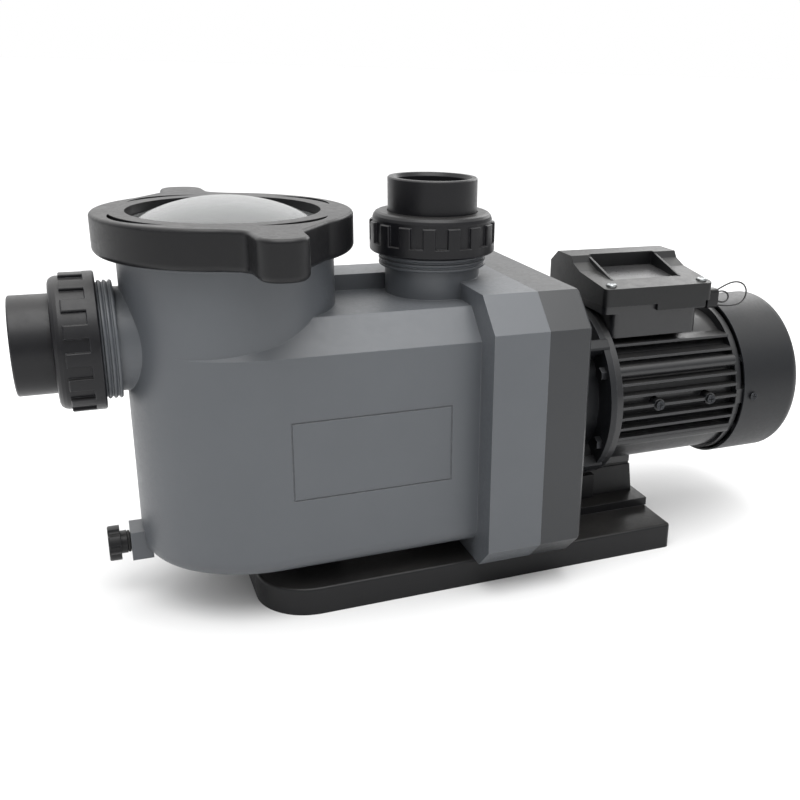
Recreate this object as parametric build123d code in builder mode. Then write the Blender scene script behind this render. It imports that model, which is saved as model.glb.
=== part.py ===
"""Self-priming pool pump: strainer pot, wet end, lantern bracket, finned motor and base plate.

Millimetres. The origin is on the floor under the middle of the base plate, +X runs from the
strainer pot to the motor and +Z is up. The pump shaft lies in the plane Y = 0.
"""
import os
from math import asin, cos, degrees, pi, radians, sin, sqrt, tan

from build123d import *

os.makedirs("parts", exist_ok=True)

# ---------------------------------------------------------------- clearances
slide_gap = 0.3          # between faces of pieces that part from each other
run_gap = 0.05           # radial gap of a shaft or pin in its bore
seat_gap = 0.1           # screw in its hole, piece in its recess
thread_gap = 0.4         # radial gap left between a male and a female thread

# ---------------------------------------------------------------- base plate
base_length = 385.0
base_width = 171.0
base_height = 24.4
base_nose_corner = 46.0  # plan radius under the strainer pot
base_heel_corner = 4.0   # plan radius under the motor
base_edge = 2.5
base_wall = 6.0
base_roof = 7.0
base_rib = 4.0
base_rib_columns = 6
plateau_width = 80.0
plateau_height = 8.0
pedestal_length = 62.0
pedestal_width = 36.0
pedestal_inset = 5.0     # from the end of the base plate
pad_thickness = 3.0

# ---------------------------------------------------------------- wet end
flange_width = 230.0
flange_height = 237.8
flange_thickness = 48.5
flange_chamfer_high = 27.0
flange_chamfer_low = 20.5
plate_thickness = 39.0
plate_pocket = 26.0      # depth of the ribbed ring sunk into its rear face
flange_start_x = -10.6

pot_x = -193.6
pot_radius = 83.0
pot_wall = 7.0
pot_floor = 8.0
seat_z = 300.0           # top face of the pot, under the lid
pot_thread_radius = 87.8
pot_thread_length = 10.0

body_width = 177.4
body_bottom_z = 42.0
body_top_z = 248.0
body_chamfer = 24.2
body_bottom_round = 15.0
body_blend_angle = 130.0  # where the side walls run into the pot
ledge_height = 14.0
ledge_near_y = 18.0
ledge_far_y = 58.0

panel_x = -101.0
panel_z = 139.4
panel_length = 132.0
panel_height = 66.0
panel_groove = 1.2

chamber_width = 148.0    # suction chamber between the pot and the impeller eye
chamber_low_z = 56.0
chamber_high_z = 198.0
volute_radius = 80.0
volute_length = 78.0
web_thickness = 14.0
eye_radius = 34.0

# ---------------------------------------------------------------- pipe unions
suction_z = 225.5
suction_neck = 16.4      # from the pot wall to the union nut
discharge_x = -21.8
discharge_neck = 36.0    # from the top of the body to the union nut
port_bore = 34.0
port_neck_radius = 40.6
port_thread_radius = 46.0
port_collar = 12.0       # threaded collar left bare below the nut
port_engaged = 18.0      # thread inside the nut
nut_radius = 53.5
nut_length = 33.0
nut_pads = 16
nut_foot = 8.0           # plain ring at the wide end of the nut
nut_pad_top = 25.0
nut_pad_height = 2.6
tail_radius = 38.0
tail_flange_radius = 45.5
tail_flange = 7.0
tail_stub = 28.3         # pipe socket standing out of the nut
socket_radius = 31.6
socket_depth = 38.0
tail_waterway = 28.0

# ---------------------------------------------------------------- lid and basket
ring_radius = 99.0
ring_bottom_z = 292.8
ring_top_z = 323.2
ring_opening = 73.6
lobe_reach = 146.0
lobe_width = 36.0
lobe_offset = 18.5
dome_rise = 16.0
dome_radius = 66.0
dome_top_z = 333.0
lid_wall = 4.5
lid_flange_top_z = 308.5
lid_flange_bottom_z = 302.0
basket_rim_z = 262.0
basket_bottom_z = 62.0
basket_top_radius = 64.0
basket_bottom_radius = 58.0
basket_wall = 2.4
basket_window = 36.0
bail_rise = 45.0
bail_thickness = 5.0

# ---------------------------------------------------------------- drain
drain_z = 51.2
drain_boss = 25.0
drain_boss_length = 10.5
drain_shank_radius = 6.7
drain_knob_radius = 14.7

# ---------------------------------------------------------------- motor
bracket_length = 48.1
bracket_hub_radius = 60.0
bracket_flange_radius = 83.0
arm_radius = 79.0
arm_size = 11.0
shield_rim = 6.0
frame_length = 128.0
frame_bore = 62.0
frame_root = 68.0
fin_tip = 78.0
fin_pitch = 10.6
fin_thickness = 2.4
fin_first = -3
fin_last = 5
fin_offset = 1.9
belly_radius = 73.0
belly_top = 33.0         # below the shaft, where the smooth belly starts
cowl_radius = 80.0
cowl_end_radius = 72.0
cowl_length = 70.0
cowl_nose = 14.5
cowl_wall = 2.0
cowl_gap = 7.5           # between the finned frame and the front edge of the cowl
rear_shield = 8.0
core_length = 70.0
slot_count = 24
rotor_gap = 0.5

# ---------------------------------------------------------------- terminal box
box_length = 91.0         # deep part, behind the rim of the front end shield
tray_length = 110.0       # shallow part under the lid
tray_bottom_z = 227.5
box_width = 107.0
box_bottom_z = 205.0
box_rim_z = 236.0
box_wall = 3.0
saddle_width = 72.0
saddle_top_z = 214.0
lid_length = 114.0
lid_width = 114.0
lid_front_z = 251.3
lid_ridge_z = 269.0
lead_diameter = 1.6

# ---------------------------------------------------------------- derived places
base_end_x = base_length / 2
base_top_z = base_height
shaft_z = base_top_z + flange_height / 2
flange_top_z = base_top_z + flange_height
split_x = flange_start_x + flange_thickness
plate_end_x = split_x + plate_thickness
motor_x = plate_end_x + bracket_length
frame_x = motor_x + shield_rim
frame_end_x = frame_x + frame_length
cowl_x = frame_end_x + cowl_gap
cowl_end_x = cowl_x + cowl_length
core_x = frame_x + (frame_length - core_length) / 2 - 1.0
volute_x = split_x - volute_length
shaft_axis = Axis((0, 0, shaft_z), (1, 0, 0))
pot_axis = Axis((pot_x, 0, 0), (0, 0, 1))
pot_bore = pot_radius - pot_wall
motor_foot_z = base_top_z + plateau_height + 27.6 + pad_thickness
box_x = frame_x + 0.5
lid_x = motor_x - 4.5
tray_x = lid_x + (lid_length - tray_length) / 2

# ---------------------------------------------------------------- fasteners
bolt_radius = 4.0
bolt_head = 13.0
bolt_head_height = 5.3
cross_width = 1.1        # cross recess of a pan head screw
fin_screw_head = 4.4
flange_bolt_circle = 104.0
flange_bolt_reach = 24.0
flange_bolt_sink = 9.0
seal_ring_radius = 88.0
seal_ring_section = 2.6
flange_bolt_angles = [22.5 + 45.0 * n for n in range(8)]
lid_seal_radius = pot_bore + 6.0
shield_bolt_circle = 73.0
shield_bolt_angles = (27.0, 153.0, 207.0, 333.0)
cowl_lug_angles = (0.0, 90.0, 180.0, 270.0)
fin_screw_xs = (frame_x + 41.5, frame_x + 97.5)

# ---------------------------------------------------------------- pump hydraulics
diffuser_vanes = 9
impeller_vanes = 6
diffuser_wall = 6.0
diffuser_outer = volute_radius - 6.0
diffuser_bore = diffuser_outer - diffuser_wall
impeller_radius = 54.0
seat_x = split_x - 4.6
seat_length = 7.7
seat_radius = 17.0
bracket_bolt_circle = 67.0
bracket_bolt_angles = (0.0, 90.0, 180.0, 270.0)
shaft_nose = 8.0
eye_neck = 27.0
vane_height = 16.0
nozzle_x = volute_x - web_thickness + 1.0
wall_x = volute_x + 4.0
floor_x = wall_x + 5.0
shroud_x = floor_x + 2.0
disc_x = shroud_x + 3.0 + vane_height
shaft_nose_x = disc_x - 4.0

# ---------------------------------------------------------------- bearings, rotor and fan
front_bearing = (motor_x + 4.0, 12.5, 26.0, 15.0)            # start, bore radius, outer radius, width
rear_bearing = (frame_end_x + 1.0, 8.5, 20.0, 12.0)
rotor_seat = 17.0
rotor_radius = 36.0
fan_seat = 7.5
fan_x = frame_end_x + 26.0
fan_length = 24.0
key_length = 12.0

# ---------------------------------------------------------------- terminal box details
gland_x = box_x + box_length - 24.0
gland_z = 217.5
gland_bore = 5.5
gland_thread = 8.0
lid_boss = 5.0
box_middle_x = box_x + box_length / 2
lid_gasket = 2.0
lid_head_z = lid_front_z + 0.7
pocket_start = 20.0      # from the left end of the lid
pocket_length = 70.0
pocket_front_y = -33.0
pocket_back_y = 15.0

# ---------------------------------------------------------------- motor leads, as (x, z)
lead_y = -45.0
lead_clip_length = 11.5
lead_route_outer = [
    (246.0, 241.0), (257.0, 246.5), (268.0, 248.5), (277.5, 245.5), (282.0, 237.5), (279.0, 229.0),
    (269.5, 225.0), (258.0, 225.5), (246.0, 227.0),
]
lead_route_inner = [
    (
        246.0, 238.0,
    ), (254.0, 239.6), (261.0, 237.6), (264.0, 232.8), (261.0, 228.4), (254.0, 228.2), (246.0, 231.0),
]

# ---------------------------------------------------------------- basket bail and ring lobes
bail_span = 62.0
bail_z = basket_rim_z + 9.5
lobe_points = [
    (-32.0, -90.0), (-2.0, -106.0), (1.0, -lobe_reach), (lobe_width, -lobe_reach), (
        lobe_width + 1.0, -111.0,
    ),
    (71.0, -66.0), (20.0, -50.0),
]

# ---------------------------------------------------------------- ports
suction_port = Plane(
    origin=(pot_x - pot_radius - suction_neck, 0, suction_z), x_dir=(0, 1, 0), z_dir=(-1, 0, 0)
)
discharge_port = Plane(
    origin=(discharge_x, 0, body_top_z + discharge_neck), x_dir=(1, 0, 0), z_dir=(0, 0, 1)
)
drain_port = Plane(
    origin=(pot_x - pot_radius + 0.6 - drain_boss_length, 0, drain_z), x_dir=(0, 1, 0), z_dir=(-1, 0, 0)
)

# ---------------------------------------------------------------- base screws
# Screws that come up through the base plate: place and how far they reach above its top.
foot_x = pot_x + 55.0
foot_length = 44.0
foot_width = 70.0
pedestal_x = base_end_x - pedestal_inset - pedestal_length / 2
base_screw_reach = 14.0
motor_foot_length = pedestal_x + pedestal_length / 2 - 3.0 - frame_x - 1.0
motor_foot_x = frame_x + 1.0 + motor_foot_length / 2
base_screw_places = (
    [(flange_start_x + flange_thickness / 2, side * 60.0) for side in (-1, 1)]
    + [(split_x + plate_thickness / 2, side * 60.0) for side in (-1, 1)]
    + [(foot_x, side * 20.0) for side in (-1, 1)]
    + [(pedestal_x + end * 17.0, 0.0) for end in (-1, 1)]
)

UP = (Align.CENTER, Align.CENTER, Align.MIN)


def save(builder, name):
    """Label a finished piece and write its STEP file."""
    builder.part.label = name
    export_step(builder.part, f"parts/{name}.step")


def section_plane(port):
    """Plane through a port's axis: local x is the radius, local y runs outwards."""
    return Plane(origin=port.origin, x_dir=port.x_dir, z_dir=-port.y_dir)


def port_axis(port):
    """Axis of a port, pointing outwards."""
    return Axis(port.origin, port.z_dir)


def octagon_points():
    """Corners of the flange outline in the YZ plane, anticlockwise from the lower left."""
    half = flange_width / 2
    high = flange_top_z - flange_chamfer_high
    low = base_top_z + flange_chamfer_low
    return [
        (-half + flange_chamfer_low, base_top_z),
        (half - flange_chamfer_low, base_top_z),
        (half, low),
        (half, high),
        (half - flange_chamfer_high, flange_top_z),
        (-half + flange_chamfer_high, flange_top_z),
        (-half, high),
        (-half, low),
    ]


def turned(points, plane, axis):
    """Solid of revolution of a closed outline drawn on a plane through its axis."""
    with BuildPart() as body:
        with BuildSketch(plane):
            with BuildLine():
                Polyline(*points, close=True)
            make_face()
        revolve(axis=axis)
    return body


def about_shaft(*points):
    """Turned piece on the pump shaft, outline given as (x, radius)."""
    plane = Plane(origin=(0, 0, shaft_z), x_dir=(1, 0, 0), z_dir=(0, -1, 0))
    return turned(points, plane, shaft_axis)


def about_pot(*points):
    """Turned piece on the pot's axis, outline given as (radius, z)."""
    plane = Plane(origin=(pot_x, 0, 0), x_dir=(1, 0, 0), z_dir=(0, -1, 0))
    return turned(points, plane, pot_axis)


def about_port(port, *points):
    """Turned piece on a port's axis, outline given as (radius, distance outwards)."""
    return turned(points, section_plane(port), port_axis(port))


def torus_about_shaft(x, radius, section):
    """Round ring on the pump shaft."""
    with BuildPart() as ring:
        with Locations(Plane(origin=(x, 0, shaft_z), z_dir=(1, 0, 0))):
            Torus(radius, section)
    return ring


def spoke_plane(x, angle):
    """Plane across the shaft whose local x points outwards at an angle above +Y."""
    turn = radians(angle)
    return Plane(origin=(x, 0, shaft_z), x_dir=(0, cos(turn), sin(turn)), z_dir=(1, 0, 0))


def on_circle(radius, angles, x):
    """Places on a circle about the shaft, turned so that local Z runs along +X."""
    return [
        Plane(
            origin=(x, radius * cos(radians(a)), shaft_z + radius * sin(radians(a))), z_dir=(1, 0, 0)
        ).location
        for a in angles
    ]


# ================================================================ base
def make_base():
    with BuildPart() as base_plate:
        with BuildSketch() as outline:
            Rectangle(base_length, base_width)
            corners = outline.vertices().group_by(Axis.X)
            fillet(corners[0], base_nose_corner)
            fillet(outline.vertices().group_by(Axis.X)[-1], base_heel_corner)
        extrude(amount=base_height)
        fillet(base_plate.faces().sort_by(Axis.Z)[-1].edges(), base_edge)
        plateau_start = plate_end_x + 1.0
        with BuildSketch(Plane.XY.offset(base_top_z)):
            with Locations(((plateau_start + base_end_x) / 2, 0)):
                Rectangle(base_end_x - plateau_start, plateau_width)
        extrude(amount=plateau_height)
        with BuildSketch():
            Rectangle(base_length, base_width)
            offset(amount=-base_wall, kind=Kind.INTERSECTION)
            with Locations((-base_end_x + base_nose_corner / 2, 0)):
                Rectangle(base_nose_corner, base_width, mode=Mode.SUBTRACT)
            Rectangle(base_length, base_rib, mode=Mode.SUBTRACT)
            for side in (-1, 1):
                with Locations((0, side * base_width / 4)):
                    Rectangle(base_length, base_rib, mode=Mode.SUBTRACT)
            with GridLocations(base_length / base_rib_columns, 1, base_rib_columns - 1, 1):
                Rectangle(base_rib, base_width, mode=Mode.SUBTRACT)
        extrude(amount=base_height - base_roof, mode=Mode.SUBTRACT)
        with Locations(*[(x, y, 0) for x, y in base_screw_places]):
            Cylinder(bolt_head / 2 + 5.0, base_height - base_roof + 0.5, align=UP)
        with Locations(*[(x, y, 0) for x, y in base_screw_places]):
            Cylinder(
                bolt_radius + seat_gap, base_height + plateau_height,
                align=UP, mode=Mode.SUBTRACT,
            )
        with Locations(*[(x, y, 0) for x, y in base_screw_places]):
            Cylinder(
                bolt_head / 2 + 2.0, bolt_head_height + 3.0,
                align=UP, mode=Mode.SUBTRACT,
            )
    save(base_plate, "base_plate")

    with BuildPart() as base_screws:
        with Locations(*[(x, y, 3.0) for x, y in base_screw_places]):
            Cylinder(bolt_head / 2, bolt_head_height, align=UP)
        for x, y in base_screw_places:
            top = base_top_z + base_screw_reach
            if x > plate_end_x:
                top += plateau_height
            with Locations((x, y, 3.0 + bolt_head_height)):
                Cylinder(
                    bolt_radius, top - 3.0 - bolt_head_height,
                    align=UP,
                )
        with BuildSketch(Plane.XY.offset(3.0)):
            with Locations(*base_screw_places):
                RegularPolygon(3.0, 6)
        extrude(amount=3.0, mode=Mode.SUBTRACT)
    save(base_screws, "base_screws")


def make_pedestal():
    with BuildPart() as motor_pedestal:
        foot_z = base_top_z + plateau_height
        top_z = motor_foot_z - pad_thickness
        with BuildSketch(Plane.XY.offset(foot_z)):
            with Locations((pedestal_x, 0)):
                Rectangle(pedestal_length, pedestal_width)
        with BuildSketch(Plane.XY.offset(top_z)):
            with Locations((pedestal_x, 0)):
                Rectangle(pedestal_length - 4.0, pedestal_width - 6.0)
        loft()
        column_x = pedestal_x - pedestal_length / 2 + 8.0
        with Locations((column_x, 0, foot_z)):
            Box(16.0, pedestal_width + 8.0, top_z - foot_z - 3.0, align=UP)
        with Locations(*[(x, y, foot_z) for x, y in base_screw_places if x > plate_end_x]):
            Cylinder(bolt_radius + seat_gap, base_screw_reach + 1.0, align=UP, mode=Mode.SUBTRACT)
    save(motor_pedestal, "motor_pedestal")

    with BuildPart() as motor_pad:
        with Locations((motor_foot_x, 0, motor_foot_z - pad_thickness)):
            Box(motor_foot_length, pedestal_width - 8.0, pad_thickness, align=UP)
    save(motor_pad, "motor_pad")


# ================================================================ wet end
def wet_end_ports():
    """Necks, threaded collars and end faces of both pipe ports, as one builder."""
    thread = port_thread_radius
    root = thread - 1.6
    pitch = 4.0
    with BuildPart() as ports:
        for port, depth in ((suction_port, suction_neck + 12.0), (discharge_port, discharge_neck + 20.0)):
            outline = [(0.0, -depth), (port_neck_radius, -depth), (port_neck_radius, -port_collar)]
            level = -port_collar
            while level < port_engaged - pitch:
                outline += [(thread - 0.9, level), (thread, level + 1.0), (thread, level + 2.2)]
                outline += [(root, level + 2.9), (root, level + pitch - 0.5)]
                level += pitch
            outline += [(thread - 0.9, level), (thread - 0.9, port_engaged), (0.0, port_engaged)]
            add(about_port(port, *outline).part)
    return ports


def make_pump_body():
    half = body_width / 2
    turn = radians(body_blend_angle)
    shift = (half - pot_radius) / (1 - sin(turn))
    blend_radius = pot_radius + shift
    blend_x = pot_x - shift * cos(turn)
    blend_y = shift * sin(turn)
    with BuildPart() as pump_body:
        # Long housing whose side walls run into the round pot.
        with BuildSketch(Plane.XY.offset(body_bottom_z)):
            with BuildLine():
                Line((flange_start_x, -half), (blend_x, -half))
                CenterArc((blend_x, blend_y), blend_radius, -90, 90 - body_blend_angle)
                CenterArc((pot_x, 0), pot_radius, -body_blend_angle, 2 * body_blend_angle - 360)
                CenterArc((blend_x, -blend_y), blend_radius, body_blend_angle, 90 - body_blend_angle)
                Line((blend_x, half), (flange_start_x, half))
                Line((flange_start_x, half), (flange_start_x, -half))
            make_face()
        extrude(amount=body_top_z - body_bottom_z)
        top = pump_body.faces().sort_by(Axis.Z)[-1].edges()
        chamfer(top.sort_by(Axis.X)[:-1], body_chamfer)
        bottom = pump_body.faces().sort_by(Axis.Z)[0].edges()
        fillet(bottom.sort_by(Axis.X)[:-1], body_bottom_round)
        # Pot, threaded for the locking ring.
        pot_foot = body_bottom_z + body_bottom_round
        with Locations((pot_x, 0, pot_foot)):
            Cylinder(pot_radius, seat_z - pot_foot, align=UP)
        with Locations((pot_x, 0, seat_z - pot_thread_length)):
            Cylinder(pot_thread_radius, pot_thread_length, align=UP)
        # Flange that meets the seal plate.
        with BuildSketch(Plane.YZ.offset(flange_start_x)):
            with BuildLine():
                Polyline(*octagon_points(), close=True)
            make_face()
        extrude(amount=flange_thickness)
        # Ledge on the far side of the top, foot under the pot, drain boss.
        ledge_start = pot_x + pot_radius - 12.0
        with Locations(
            ((ledge_start + flange_start_x) / 2, (ledge_near_y + ledge_far_y) / 2, body_top_z - 1.0)
        ):
            Box(flange_start_x - ledge_start, ledge_far_y - ledge_near_y, ledge_height + 1.0, align=UP)
        with Locations((foot_x, 0, base_top_z)):
            Box(foot_length, foot_width, body_bottom_z - base_top_z + 6.0, align=UP)
        with Locations((pot_x - pot_radius + 0.6 - drain_boss_length / 2 + 3.0, 0, drain_z)):
            Box(drain_boss_length + 6.0, drain_boss, drain_boss)
        add(wet_end_ports().part)
        # Hollows: pot, suction chamber, impeller eye, volute chamber.
        with Locations((pot_x, 0, body_bottom_z + pot_floor)):
            Cylinder(pot_bore, seat_z, align=UP, mode=Mode.SUBTRACT)
        chamber_end = volute_x - web_thickness
        with BuildSketch(Plane.YZ.offset(pot_x)):
            with Locations((0, (chamber_low_z + chamber_high_z) / 2)):
                RectangleRounded(chamber_width, chamber_high_z - chamber_low_z, 24.0)
        extrude(amount=chamber_end - pot_x, mode=Mode.SUBTRACT)
        add(
            about_shaft(
                (chamber_end - 1.0, 0), (
                    chamber_end - 1.0, eye_radius,
                ), (volute_x, eye_radius), (volute_x, 0)
            ).part,
            mode=Mode.SUBTRACT,
        )
        add(
            about_shaft(
                (volute_x, 0), (volute_x, volute_radius), (split_x, volute_radius), (split_x, 0)
            ).part,
            mode=Mode.SUBTRACT,
        )
        # Ring ledge that carries the basket, then the bores of both ports and the drain.
        add(
            about_pot(
                (pot_bore + 1.0, basket_rim_z - 12.0), (pot_bore - 4.0, basket_rim_z - 6.0),
                (pot_bore - 4.0, basket_rim_z), (pot_bore + 1.0, basket_rim_z),
            ).part
        )
        add(
            about_port(
                suction_port, (0, -suction_neck - pot_wall - 20.0), (
                    port_bore, -suction_neck - pot_wall - 20.0,
                ),
                (port_bore, port_engaged), (0, port_engaged),
            ).part,
            mode=Mode.SUBTRACT,
        )
        add(
            about_port(
                discharge_port, (0, shaft_z + 60.0 - discharge_port.origin.Z),
                (port_bore, shaft_z + 60.0 - discharge_port.origin.Z),
                (port_bore, port_engaged), (0, port_engaged),
            ).part,
            mode=Mode.SUBTRACT,
        )
        add(
            about_port(
                drain_port, (0, -drain_boss_length - pot_wall - 3.0),
                (drain_shank_radius + thread_gap, -drain_boss_length - pot_wall - 3.0),
                (drain_shank_radius + thread_gap, 0), (0, 0),
            ).part,
            mode=Mode.SUBTRACT,
        )
        # Groove for the lid seal and the framed panel on each long side.
        add(
            about_pot(
                (lid_seal_radius - 2.8, seat_z), (lid_seal_radius + 2.8, seat_z),
                (lid_seal_radius + 2.8, seat_z - 3.4), (lid_seal_radius - 2.8, seat_z - 3.4),
            ).part,
            mode=Mode.SUBTRACT,
        )
        with BuildSketch(Plane.XZ.offset(half)):
            with Locations((panel_x, panel_z)):
                Rectangle(panel_length, panel_height)
                Rectangle(
                    panel_length - 2 * panel_groove, panel_height - 2 * panel_groove,
                    mode=Mode.SUBTRACT,
                )
        extrude(amount=-0.8, mode=Mode.SUBTRACT)
        # Threaded holes for the flange bolts and the base screws.
        with Locations(*on_circle(flange_bolt_circle, flange_bolt_angles, split_x - flange_bolt_reach)):
            Cylinder(bolt_radius + seat_gap, flange_bolt_reach, align=UP, mode=Mode.SUBTRACT)
        for x, y in base_screw_places:
            if x < split_x:
                with Locations((x, y, base_top_z)):
                    Cylinder(bolt_radius + seat_gap, base_screw_reach + 1.0, align=UP, mode=Mode.SUBTRACT)
    save(pump_body, "pump_body")


def make_seal_plate():
    with BuildPart() as seal_plate:
        with BuildSketch(Plane.YZ.offset(split_x)):
            with BuildLine():
                Polyline(*octagon_points(), close=True)
            make_face()
        extrude(amount=plate_thickness)
        chamfer(seal_plate.faces().sort_by(Axis.X)[-1].edges(), 2.5)
        # Boss that closes the diffuser, stepped bore for the shaft seal, pocket behind it.
        add(
            about_shaft(
                (split_x - 7.9, 0), (
                    split_x - 7.9, diffuser_bore - 0.3,
                ), (split_x, diffuser_bore - 0.3), (split_x, 0)
            ).part
        )
        add(
            about_shaft(
                (split_x - 8.0, 0), (split_x - 8.0, 20.0), (seat_x, 20.0), (seat_x, seat_radius),
                (
                    seat_x + seat_length, seat_radius,
                ), (seat_x + seat_length, 11.0), (plate_end_x - 20.0, 11.0),
                (plate_end_x - 20.0, 46.0), (plate_end_x, 48.0), (plate_end_x, 0),
            ).part,
            mode=Mode.SUBTRACT,
        )
        add(torus_groove(split_x, seal_ring_radius).part, mode=Mode.SUBTRACT)
        add(
            about_shaft(
                (plate_end_x - plate_pocket, 77.0), (plate_end_x - plate_pocket, 95.0), (plate_end_x, 95.0),
                (plate_end_x, 77.0),
            ).part,
            mode=Mode.SUBTRACT,
        )
        for n in range(8):
            with BuildSketch(spoke_plane(plate_end_x - plate_pocket, n * 45.0)):
                with Locations((86.0, 0)):
                    Rectangle(20.0, 6.0)
        extrude(amount=plate_pocket)
        with Locations(*on_circle(flange_bolt_circle, flange_bolt_angles, split_x)):
            Cylinder(bolt_radius + seat_gap, plate_thickness, align=UP, mode=Mode.SUBTRACT)
        with Locations(*on_circle(flange_bolt_circle, flange_bolt_angles, plate_end_x - flange_bolt_sink)):
            Cylinder(bolt_head / 2 + 2.5, flange_bolt_sink, align=UP, mode=Mode.SUBTRACT)
        with Locations(*on_circle(bracket_bolt_circle, bracket_bolt_angles, plate_end_x - 16.0)):
            Cylinder(bolt_radius + seat_gap, 16.0, align=UP, mode=Mode.SUBTRACT)
        for x, y in base_screw_places:
            if split_x < x < plate_end_x:
                with Locations((x, y, base_top_z)):
                    Cylinder(bolt_radius + seat_gap, base_screw_reach + 1.0, align=UP, mode=Mode.SUBTRACT)
    save(seal_plate, "seal_plate")

    save(
        torus_about_shaft(split_x + seal_ring_section - 0.2, seal_ring_radius, seal_ring_section - 0.3),
        "body_seal_ring",
    )

    with BuildPart() as flange_bolts:
        head_x = plate_end_x - flange_bolt_sink
        with Locations(
            *on_circle(flange_bolt_circle, flange_bolt_angles, split_x - flange_bolt_reach + 1.0)
        ):
            Cylinder(bolt_radius, head_x - split_x + flange_bolt_reach - 1.0, align=UP)
        for place in on_circle(flange_bolt_circle, flange_bolt_angles, head_x):
            with BuildSketch(Plane(place)):
                RegularPolygon(bolt_head / 2, 6, major_radius=False)
        extrude(amount=bolt_head_height)
    save(flange_bolts, "flange_bolts")


def torus_groove(x, radius):
    """Square groove cut rearwards from a face across the shaft."""
    half = seal_ring_section
    return about_shaft(
        (x, radius - half), (x, radius + half), (x + 2 * half - 0.4, radius + half),
        (x + 2 * half - 0.4, radius - half),
    )


def make_hydraulics():
    with BuildPart() as diffuser:
        add(
            about_shaft(
                (nozzle_x, eye_neck + run_gap + 0.3), (nozzle_x, eye_radius - seat_gap),
                (wall_x, eye_radius - seat_gap), (wall_x, diffuser_outer),
                (split_x - seat_gap, diffuser_outer), (split_x - seat_gap, diffuser_bore),
                (floor_x, diffuser_bore), (floor_x, eye_neck + run_gap + 0.3),
            ).part
        )
        add(
            about_shaft(
                (
                    nozzle_x + 4.0, eye_radius - 2.4,
                ), (nozzle_x + 4.0, eye_radius), (nozzle_x + 7.0, eye_radius),
                (nozzle_x + 7.0, eye_radius - 2.4),
            ).part,
            mode=Mode.SUBTRACT,
        )
        vane_length = split_x - 8.4 - floor_x
        with BuildSketch(spoke_plane(floor_x, 0)):
            with PolarLocations(0, diffuser_vanes):
                with Locations(Location(((impeller_radius + 3.0 + diffuser_bore) / 2, 0), 35.0)):
                    Rectangle(diffuser_bore - impeller_radius - 4.0, 2.4)
        extrude(amount=vane_length)
        for n in range(diffuser_vanes):
            with BuildSketch(spoke_plane(split_x - 35.0, (n + 0.5) * 360.0 / diffuser_vanes)):
                with Locations((diffuser_outer, 0)):
                    Rectangle(2 * diffuser_wall + 4.0, 16.0)
        extrude(amount=22.0, mode=Mode.SUBTRACT)
    save(diffuser, "diffuser")
    save(torus_about_shaft(nozzle_x + 5.5, eye_radius - 1.2, 1.15), "diffuser_seal")

    hub_end_x = seat_x - 10.0
    with BuildPart() as impeller:
        add(
            about_shaft(
                (nozzle_x + 2.0, eye_neck - 5.0), (nozzle_x + 2.0, eye_neck), (shroud_x, eye_neck),
                (shroud_x + 0.5, impeller_radius), (shroud_x + 3.0, impeller_radius),
                (shroud_x + 3.0, eye_neck - 2.0), (shroud_x - 3.0, eye_neck - 5.0),
            ).part
        )
        add(
            about_shaft(
                (shaft_nose_x, shaft_nose + seat_gap), (shaft_nose_x, 12.0), (disc_x, 20.0),
                (disc_x, impeller_radius), (disc_x + 3.0, impeller_radius), (disc_x + 3.0, 15.0),
                (hub_end_x, 15.0), (hub_end_x, shaft_nose + seat_gap),
            ).part
        )
        for n in range(impeller_vanes):
            with BuildSketch(spoke_plane(shroud_x + 2.5, n * 360.0 / impeller_vanes)):
                with BuildLine():
                    ThreePointArc((21.0, 0.0), (33.0, 16.0), (37.0, 36.0))
                    ThreePointArc((22.8, -1.6), (35.0, 14.6), (39.2, 34.6))
                    Line((21.0, 0.0), (22.8, -1.6))
                    Line((37.0, 36.0), (39.2, 34.6))
                make_face()
        extrude(amount=vane_height + 3.5)
    save(impeller, "impeller")

    with BuildPart() as impeller_screw:
        add(
            about_shaft(
                (shaft_nose_x - 5.0, 0), (shaft_nose_x - 5.0, 5.0), (shaft_nose_x - 3.0, 8.5),
                (shaft_nose_x - 0.2, 8.5), (shaft_nose_x - 0.2, 3.0), (shaft_nose_x + 18.0, 3.0),
                (shaft_nose_x + 18.0, 0),
            ).part
        )
    save(impeller_screw, "impeller_screw")

    head_start = hub_end_x + 0.2
    seal_head = about_shaft(
        (head_start, shaft_nose + seat_gap), (head_start, 14.0), (seat_x - 5.0, 14.0), (seat_x - 5.0, 16.0),
        (seat_x - 1.0, 16.0), (seat_x - 0.3, 13.0), (seat_x - 0.3, shaft_nose + seat_gap),
    )
    save(seal_head, "seal_head")
    seal_seat = about_shaft(
        (seat_x, 10.0), (seat_x, seat_radius - 0.05), (seat_x + seat_length - 0.05, seat_radius - 0.05),
        (seat_x + seat_length - 0.05, 10.0),
    )
    save(seal_seat, "seal_seat")
    slinger = about_shaft(
        (plate_end_x - 14.0, shaft_nose + seat_gap), (plate_end_x - 14.0, 12.0), (plate_end_x - 12.0, 22.0),
        (plate_end_x - 9.5, 22.0), (plate_end_x - 10.5, 13.0), (plate_end_x - 6.0, 12.0),
        (plate_end_x - 6.0, shaft_nose + seat_gap),
    )
    save(slinger, "slinger")


# ================================================================ rotor


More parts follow.
